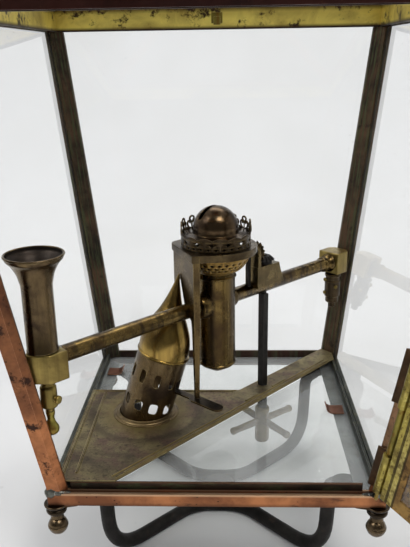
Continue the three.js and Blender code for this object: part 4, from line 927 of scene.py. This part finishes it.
def corner_block(name, node, face, reach, half, low, high, chamfer, at):
    """A block fitted into the corner of the lantern; its nose points outwards."""
    side, nose = reach * math.sqrt(2) - half, reach * math.sqrt(2) - chamfer
    outline = [(face, -half), (side, -half), (nose, -chamfer), (nose, chamfer), (side, half), (face, half)]
    emit(name, prism(outline, low, high), BLOCK_LOOK, node, at, bevel=1.0, sharp=50)


def blocks():
    left, right = half_at(94.5) - 7.6, half_at(97.5) - 7.1
    corner_block("block_left", "left_block", 171.2, left, 14, 94.5, 118, 2, DIAGONAL @ turn(180))
    corner_block("block_right", "right_block", RIGHT_FACE, right, 13, 97.5, 121.5, 7.8, DIAGONAL)
    for name, x, radius in (("solder_left", -171.0, 8.0), ("solder_right", RIGHT_FACE, 8.4)):
        ring = lathe(circle(0.8, 10, radius), 40, True).moved(shift(0, 0, x))
        emit(name, ring, SOLDER, at=ON_TUBE)


def socket():
    """Stepped socket under the right block, flattened against the corner bar, with three bolts."""
    top, middle, place, bar_depth = 97.2, 64.5, 175.4, (17 + 6.5) / 2
    profile = raised(middle, [(0, -6), (3.2, -6), (4, -5.4), (4, 0), (6.6, 0), (7.2, 0.7), (7.2, 6.5),
                              (8.5, 7.5)])
    profile += raised(top, [(8.5, -8), (7.4, -7.2), (7.4, -3), (8.5, -2.2), (8.5, 0), (0, 0)])
    ends = []
    for z in (middle - 26, top + 20):
        x = math.sqrt(2) * (half_at(z) - bar_depth) - 0.6 - place
        ends.append([(x, -40, z), (x + 60, -40, z), (x + 60, 40, z), (x, 40, z)])
    at = DIAGONAL @ shift(place, -4.5, 0)
    emit("socket_body", carve(lathe(profile, 40), capped(ends)), SOOTY, "right_socket", at)
    bolt = lathe(rounded([(0, 0), (2.2, 0), (2.2, 2.2), (1.2, 3), (0, 3)], 0.4), 6)
    for height, angle in ((76, 150), (91, 150), (84, -120)):
        reach = shift(0, 0, height) @ turn(angle) @ shift(7.6, 0, 0) @ ALONG_X
        emit("socket_bolt_%d" % height, bolt.moved(reach), BRASS, at=at)


def stay():
    shape = box(42.0 - 3.4, 42.0, -4.9, -1.1, TUBE_AT + 5.8, 152.2)
    shape.add(prism(circle(3.6, 24), 0, 3.4), shift(38.6, -3, 148) @ ALONG_X)
    emit("spindle_post", shape, IRON, "spindle_stay", DIAGONAL, bevel=0.3, sharp=50, merge=False)


tubes()
cup()
stay()
basket()
funnel()
drain()
blocks()
socket()

# ---------------------------------------------------------------- lifter, crown, dome and key

COLLAR = 165.0


def collar_outline(inset, steps=64):
    """Round on the right, with a bent rear corner and a sharp front one on the left."""
    corner_x, corner_y, radius = 34.5 - inset, 28.5 - inset, 37.0 - inset
    corner = math.degrees(math.atan2(corner_y, -corner_x))
    reach = corner - math.degrees(math.acos(radius / math.hypot(corner_x, corner_y)))
    bend = arc(8 - inset, 100, 180, 8, 8 - inset - corner_x, corner_y - 8 + inset)
    near = arc(1.5, 180, 250, 4, 1.5 - corner_x, 1.5 - corner_y)
    return near + arc(radius, -reach, reach, steps) + bend


def sheet(sides):
    """A thin plate between two outlines; its bevel needs the large faces first."""
    shape, count = skin(sides), len(sides[0])
    shape.faces = [tuple(range(count)), tuple(range(2 * count - 1, count - 1, -1))] + shape.faces
    return shape


def lifter():
    """The collar's lip, the notched panel below it, and the panel's folded edge."""
    hole = lathe(raised(COLLAR, [(0, -9), (29.5, -9), (29.5, 9), (0, 9)]), 64)
    lip = carve(prism(collar_outline(-0.9), COLLAR - 6.5, COLLAR),
                prism(collar_outline(0.2), COLLAR - 9, COLLAR - 1.2), hole)
    low, high = 28.1, 163.9
    notch = rounded([(-21, 103), (-8.5, 106), (4.7, 137.5), (16.5, 117), (20.5, 104)], 2)
    notch = [(-28.5, low), (-25.2, low), (-22.6, 96)] + notch + [(20.5, high), (-28.5, high)]
    panel = sheet([[(x, y, z) for y, z in notch] for x in (-33.5, -34.5)])
    fold = [(0, low), (3.6, low), (5.6, 110), (6.2, high), (0, high)]
    flange = sheet([[(x, y, z) for x, z in fold] for y in (0, 1)])
    panel.add(flange, shift(-34.5, -28.5, 0) @ turn(-24.7))
    emit("lifter_collar", lip, LIP_LOOK, "lifter_frame", LIFTER, "lifter", bevel=0.45,
         sharp=50)
    emit("lifter_panel", panel, COLLAR_LOOK, at=LIFTER, body="lifter", bevel=0.3, sharp=50)


def crown():
    """A pierced band with scalloped edge and, behind and at its sides, scroll prongs."""
    low, radius, units, first, top = COLLAR + FIT, 31.6, 14, 8.0, 9.6
    pitch = 360 / units

    def place(angle, z):
        return around(radius, angle, low + z)

    rows = [(0, 0.8, 2 * units, first, None), (0.8, 4.0, 2 * units, first + pitch / 4, (2.7, 1.3, 2.0)),
            (4.0, 9.0, units, first, (4.8, 2.3, 2.6)), (9.0, top, units, first, None)]
    count = units * 16
    crest = [0.9 + 1.9 * abs(math.sin(math.pi * (i / 16 % 1))) ** 0.7 for i in range(count)]
    scallops = skin([[place(first + 360 * i / count, top + crest[i] * share) for i in range(count)]
                     for share in (0, 0.5, 1)])
    emit("crown_band", pierced(rows, place, 8).add(scallops), SOOTY, "burner_crown",
         body="lifter", thick=0.9)
    section = [(-0.45, -0.8), (0.45, -0.8), (0.45, 0.8), (-0.45, 0.8)]
    scroll = [(0.4, 10.2), (3.2, 11.0), (5.3, 13.2), (5.6, 16.0), (3.9, 17.7), (2.3, 16.5), (3.0, 15.0)]
    inner = [(0.2, 15.4), (1.6, 17.6), (2.8, 19.4), (2.0, 21.0), (0.0, 21.8)]
    prongs = Shape()
    for angle in (first + i * pitch for i in range(units)):
        if not -12 < (angle + 90) % 360 - 90 < 196:
            continue
        at = turn(angle) @ shift(radius, 0, low) @ turn(90)
        for side in (-1, 1):
            for line in (scroll, inner):
                prongs.add(sweep([(side * u, 0, z) for u, z in spline(line, 4)], section), at)
        prongs.add(sweep([(0.01 * k, 0, 9.5 + 2.0 * k) for k in range(4)], section), at)
    emit("crown_prongs", prongs, SOOTY, body="lifter", merge=False)


def dome():
    base, centre = COLLAR + 10.2, 180.5
    shape = raised(base, [(30.8, 0), (30.8, 0.9), (22.6, 1.0), (21.4, 1.6), (21, 2.6)])
    shape += arc(21, 0, 88, 22, 0, centre) + [(0, centre + 21), (0, centre + 20)]
    shape += arc(20, 88, 0, 22, 0, centre) + [(20, base)]
    slot = [(-18.2, 0.3), (-17.6, -0.5), (17.6, -0.5), (18.2, 0.3), (18.2, 3.7), (17.6, 4.5), (-17.6, 4.5),
            (-18.2, 3.7)]
    shell = carve(lathe(shape, 72, True), prism(slot, centre + 5, centre + 40).moved(turn(45)))
    emit("dome_shell", shell, DOME_LOOK, "burner_dome", body="lifter", sharp=40)


def key():
    """The wick key below the base: a turned hub and four arms."""
    hub = rounded([(0, -65), (6.6, -65), (7.5, -63.6), (7.5, -52), (7.1, -51.2), (7.1, -31), (7.5, -30.2),
                   (7.5, -26.4), (6.4, -25), (0, -25)], 0.7)
    arm = rounded([(0, 5), (4.3, 5), (3.8, 9), (3.3, 34), (3.5, 36.4), (4.0, 38.2), (3.6, 40.6),
                   (2.2, 41.5), (0, 41.5)], 1.0, 4)
    shape = lathe(hub, 40)
    for k in range(4):
        shape.add(lathe(arm, 24), turn(90 * k - 7) @ shift(0, 0, -41) @ ALONG_X)
    emit("key_body", shape, KEY_LOOK, "wick_key", DIAGONAL @ shift(62.5, -3, 0), "key_shaft",
         merge=False)


lifter()
crown()
dome()
key()

# ---------------------------------------------------------------- door side and trim

def glass_tabs():
    """Small copper tabs with a turned-up edge that hold down the bottom glass."""
    line = spline([(124.5, -6.9), (118, -7.2), (112.5, -7.0), (109, -5.2), (107.4, -2.2)], 5)
    section = [(-8, -0.5), (8, -0.5), (8, 0.5), (-8, 0.5)]
    for name, side, y in (("left", -1, 88), ("right", 1, 3)):
        tab = sweep([(side * x, y, z) for x, z in line], section)
        emit("tab_" + name, tab, TAB_LOOK, "glass_tab_" + name, sharp=50)


def plate_folds():
    """Two thin beads along the plate's slanted edge and one along its rear edge."""
    half, rear_y, rear_x = half_at(0) - 7.3, 26.6, 22
    start = Vector((-82, -half, 1.5))
    run = Vector((1, 1.1, 0)).normalized()
    side = Vector((-run.y, run.x, 0))
    section = [(-0.7, -0.3), (0.7, -0.3), (0.45, 0.55), (0, 0.75), (-0.45, 0.55)]
    reach = (half - start.x) / run.x - 12
    for i, offset in enumerate((1.5, 6.4)):
        path = [start + side * offset + run * (2 + reach * k / 20) for k in range(21)]
        emit("plate_bead_%d" % i, sweep(path, section), PLATE_EDGE, sharp=60)
    rear = [(3 - half + (rear_x + half - 6) * k / 12, rear_y, 1.5) for k in range(13)]
    emit("plate_bead_rear", sweep(rear, section), PLATE_EDGE, sharp=60)


def bar_shape(section, low, high):
    """A leaning bar at the front right corner; its section holds [inwards, backwards] points."""
    return capped([[(half_at(z) - u, -half_at(z) + v, z) for u, v in section] for z in (low, high)])


def hinge_side():
    """The hinge side's bar with a rounded fold along the hinge line, and three plates."""
    section = [(0, 0), (6.4, 0), (12.4, 6.0), (12.4, 7), (6.5, 7), (6.5, 17), (5.3, 17), (5.3, 7), (2.5, 7),
               (2.5, 17), (0, 17)]
    emit("hinge_bar", bar_shape(section, -6.2, HEIGHT - FIT), DOOR_POST, "post_front_right",
         bevel=0.4, sharp=50)
    line = HINGE_FOOT + Vector((0.9, 1.0, 0))
    web = [(5.6, -3.2), (9.4, -3.2), (9.2, 1.4), (6.0, 0.6)]
    for i, (low, high) in enumerate(((38.3, 81.7), (126.3, 289.7), (334.3, 340.3))):
        ends = [line + HINGE * (z / HINGE.z) for z in (low, (low + high) / 2, high)]
        fold = tube(ends, 3.1, 28).add(bar_shape(web, low, high))
        emit("hinge_fold_%d" % i, fold, GOLD, sharp=50, merge=False)
    leaf = [(6.6, -1.1), (14.6, 6.6), (14.6, 7.4), (13.6, 7.4), (12.6, 6.3), (6.4, 0.1)]
    for i, (low, high) in enumerate(((1, 39), (81, 127), (289, 335))):
        emit("hinge_plate_%d" % i, bar_shape(leaf, low, high), PLATE_COPPER, sharp=50)


def corner_solder():
    """Smeared solder where the front corner bars meet their rails."""
    chance = random.Random(21)
    spots = (((134.0, -134.6, -6.8), (5.2, 3.4, 5.6)), ((128.0, -135.2, -6.8), (5.6, 2.2, 2.6)),
             ((122, -134.4, -6.6), (4.6, 2.0, 1.1)))
    for name, x in (("left", -1), ("right", 1)):
        blob = Shape()
        for spot, size in spots:
            ball = lathe(arc(1, -90, 90, 14), 28)
            lumps = [v * (1 + 0.14 * (chance.random() - 0.5)) for v in ball.verts]
            ball.verts = [Vector((x * (spot[0] + v.x * size[0]), spot[1] + v.y * size[1],
                                  spot[2] + v.z * size[2])) for v in lumps]
            blob.add(ball)
        emit("solder_foot_" + name, blob, SOLDER_SMEAR, sharp=180, merge=False)


def rim_clip():
    """Small folded clip in the middle of the rear rim."""
    y = EAVES / 2 - 10.4
    clip = box(-6, 6, y - 1.6, y, HEIGHT + 6, HEIGHT + 17)
    clip.add(box(-3.6, 3.6, y - 2.6, y - 1.5, HEIGHT + 4.5, HEIGHT + 13))
    emit("rim_clip", clip, GOLD, bevel=0.4, sharp=50)


glass_tabs()
plate_folds()
hinge_side()
corner_solder()
rim_clip()

# ---------------------------------------------------------------- ventilator

VENT_LOW = 480.6
CAP_BASE = 526.9


def ventilator():
    """A square skirt that turns round, a slotted drum and a bead between them."""
    neck, drum, half, corner, sheet = 44, 43.2, 50, 66, 0.8

    def ring(z, squareness):
        points = []
        for i in range(96):
            c, s, _ = around(1, 3.75 * (i + 0.5), 0)
            square = min(half / max(abs(c), abs(s)), corner)
            r = neck + (square - neck) * squareness - sheet
            points.append((r * c, r * s, VENT_LOW + z))
        return points

    skirt = skin([ring(z, share) for z, share in (
        (0, 1), (2, 0.96), (4, 0.82), (6.5, 0.6), (9, 0.38), (12, 0.16), (15, 0.03), (16, 0))])
    rows = [(16, 17.4, 10, 0, None), (17.4, 42.4, 10, 0, (3.4, 11.2, 0.5)), (42.4, 46, 10, 0, None)]
    slotted = pierced(rows, lambda angle, z: around(drum, angle, VENT_LOW + z), 12)
    emit("vent_drum", skirt.add(slotted), COPPER, "ventilator", thick=1.6)
    bead = [(neck + 0.9 * r, VENT_LOW + 17 + z) for r, z in circle(1.1, 12)]
    emit("vent_bead", lathe(bead, 72, True), COPPER)


def cap():
    edge = [(0, 0.4), (54.6, 0), (56.2, -2.6), (57.0, -3), (57.8, -2.4), (58, -0.6), (57.6, 0.3)]
    crest = spline([(57.6, 0.3), (51, 7.2), (41.8, 18), (29, 26), (16.2, 31), (9, 33.4), (6.2, 36)], 6)
    ball = arc(9.5, -50, 62, 22, 0, 45.5)
    tip = [(3.6, 55), (2.4, 57), (1.9, 63), (1.3, 70), (0.6, 71.7), (0, 72)]
    profile = raised(CAP_BASE, edge + crest + ball + tip)
    emit("vent_cap", lathe(profile, 96), COPPER, "ventilator_cap", sharp=38)


ventilator()
cap()

# ---------------------------------------------------------------- camera and studio

def place_camera():
    """The photograph's own view, fitted to the corners of the base, the posts and the rim."""
    focal_pixels, photo_pixels, sensor = 676.7, 547.0, 36.0
    pitch, yaw, roll = (math.radians(v) for v in (17.90, -2.17, -0.93))
    spot = Vector((12.2, -600.2, 330.8 + STAND)) * MM
    data = bpy.data.cameras.new("camera")
    data.sensor_width = sensor
    data.lens = focal_pixels * sensor / photo_pixels
    data.clip_start = 0.01
    cam = bpy.data.objects.new("camera", data)
    scene.collection.objects.link(cam)
    ahead = Vector((math.sin(yaw) * math.cos(pitch), math.cos(yaw) * math.cos(pitch), -math.sin(pitch)))
    level = Vector((math.cos(yaw), -math.sin(yaw), 0.0))
    steep = level.cross(ahead)
    right = level * math.cos(roll) + steep * math.sin(roll)
    up = -level * math.sin(roll) + steep * math.cos(roll)
    cam.matrix_world = Matrix.Translation(spot) @ Matrix((right, up, -ahead)).transposed().to_4x4()
    scene.camera = cam


def backdrop():
    """Pale paper with a few specks, in a curve from the floor up to the wall, with painted shade darkening
    it slightly towards the camera.
    """
    look = Look("studio_paper")
    marks = look.noise(2.2, 5, 0.6)
    specks = look.noise(60, 3, 0.7)
    color = look.over((0.73, 0.725, 0.715, 1), (0.79, 0.785, 0.785, 1), marks, 0.3, 0.7)
    color = look.over(color, (0.52, 0.51, 0.49, 1), specks, 0.72, 0.78, 0.35)
    dirt = look.times(look.ramp(look.spots(26), 0.075, 0.045), look.ramp(marks, 0.5, 0.56))
    color = look.mix(look.times(dirt, 0.55), color, (0.3, 0.29, 0.27, 1))
    # Painted shade: the paper darkens slightly towards the camera side.
    color = look.over(color, (0.3, 0.3, 0.29, 1), look.axis("Y"), 0.75, -0.1, 0.05)
    paper = look.done(look.node("ShaderNodeBsdfDiffuse", {"Color": color}))
    half_width, front, bend, radius, top = 4.0, -3.0, 0.9, 1.2, 4.0
    curve = [math.radians(7.5 * i) for i in range(1, 13)]
    line = [(front, 0.0), (bend, 0.0)]
    line += [(bend + radius * math.sin(t), radius * (1 - math.cos(t))) for t in curve]
    line.append((bend + radius, top))
    n = len(line)
    verts = [(x, y, z) for x in (-half_width, half_width) for y, z in line]
    floor = mesh_object("studio_floor", verts, [(i, i + 1, n + i + 1, n + i) for i in range(n - 1)], paper)
    for face in floor.data.polygons:
        face.use_smooth = True


def area_light(name, spot, target, size, power, color=(1, 1, 1)):
    data = bpy.data.lights.new(name, "AREA")
    data.shape = "RECTANGLE"
    data.size, data.size_y = size
    data.energy = power
    data.color = color
    obj = bpy.data.objects.new(name, data)
    scene.collection.objects.link(obj)
    obj.location = spot
    obj.rotation_euler = (Vector(target) - Vector(spot)).to_track_quat("-Z", "Y").to_euler()


def studio():
    """Soft lamps, and a world that is seen pale by camera, mirrors and glass alone."""
    world = bpy.data.worlds.new("studio")
    scene.world = world
    look = Look(world, "ShaderNodeOutputWorld")
    light = look.node("ShaderNodeBackground", {"Color": (0.93, 0.96, 1.0, 1), "Strength": 0.55})
    parts = look.node("ShaderNodeSeparateXYZ", {0: look.coord.outputs["Generated"]})
    shade = look.ramp(parts.outputs["Y"], -0.55, 0.35, 0.1, 0.8)
    tint = look.mix(shade, (0.03, 0.028, 0.025, 1), (0.97, 0.98, 1.0, 1))
    seen = look.node("ShaderNodeBackground", {"Color": tint, "Strength": 1.0})
    ray = look.node("ShaderNodeLightPath").outputs
    which = look.math("MAXIMUM", ray["Is Camera Ray"], ray["Is Glossy Ray"])
    which = look.math("MAXIMUM", which, ray["Is Transmission Ray"])
    look.done(look.node("ShaderNodeMixShader", {0: which, 1: light.outputs[0], 2: seen.outputs[0]}))
    area_light("key_light", (0.8, -1.1, 2.2), (0, 0, 0.25), (1.0, 0.7), 26, (1.0, 0.99, 0.97))
    area_light("fill_light", (-1.5, -0.6, 1.9), (0, 0, 0.25), (0.8, 0.8), 16)
    area_light("rear_light", (0.2, 1.3, 2.3), (0, 0.4, 0.2), (1.8, 0.8), 18)
    scene.view_settings.view_transform = "Standard"


place_camera()
backdrop()
studio()
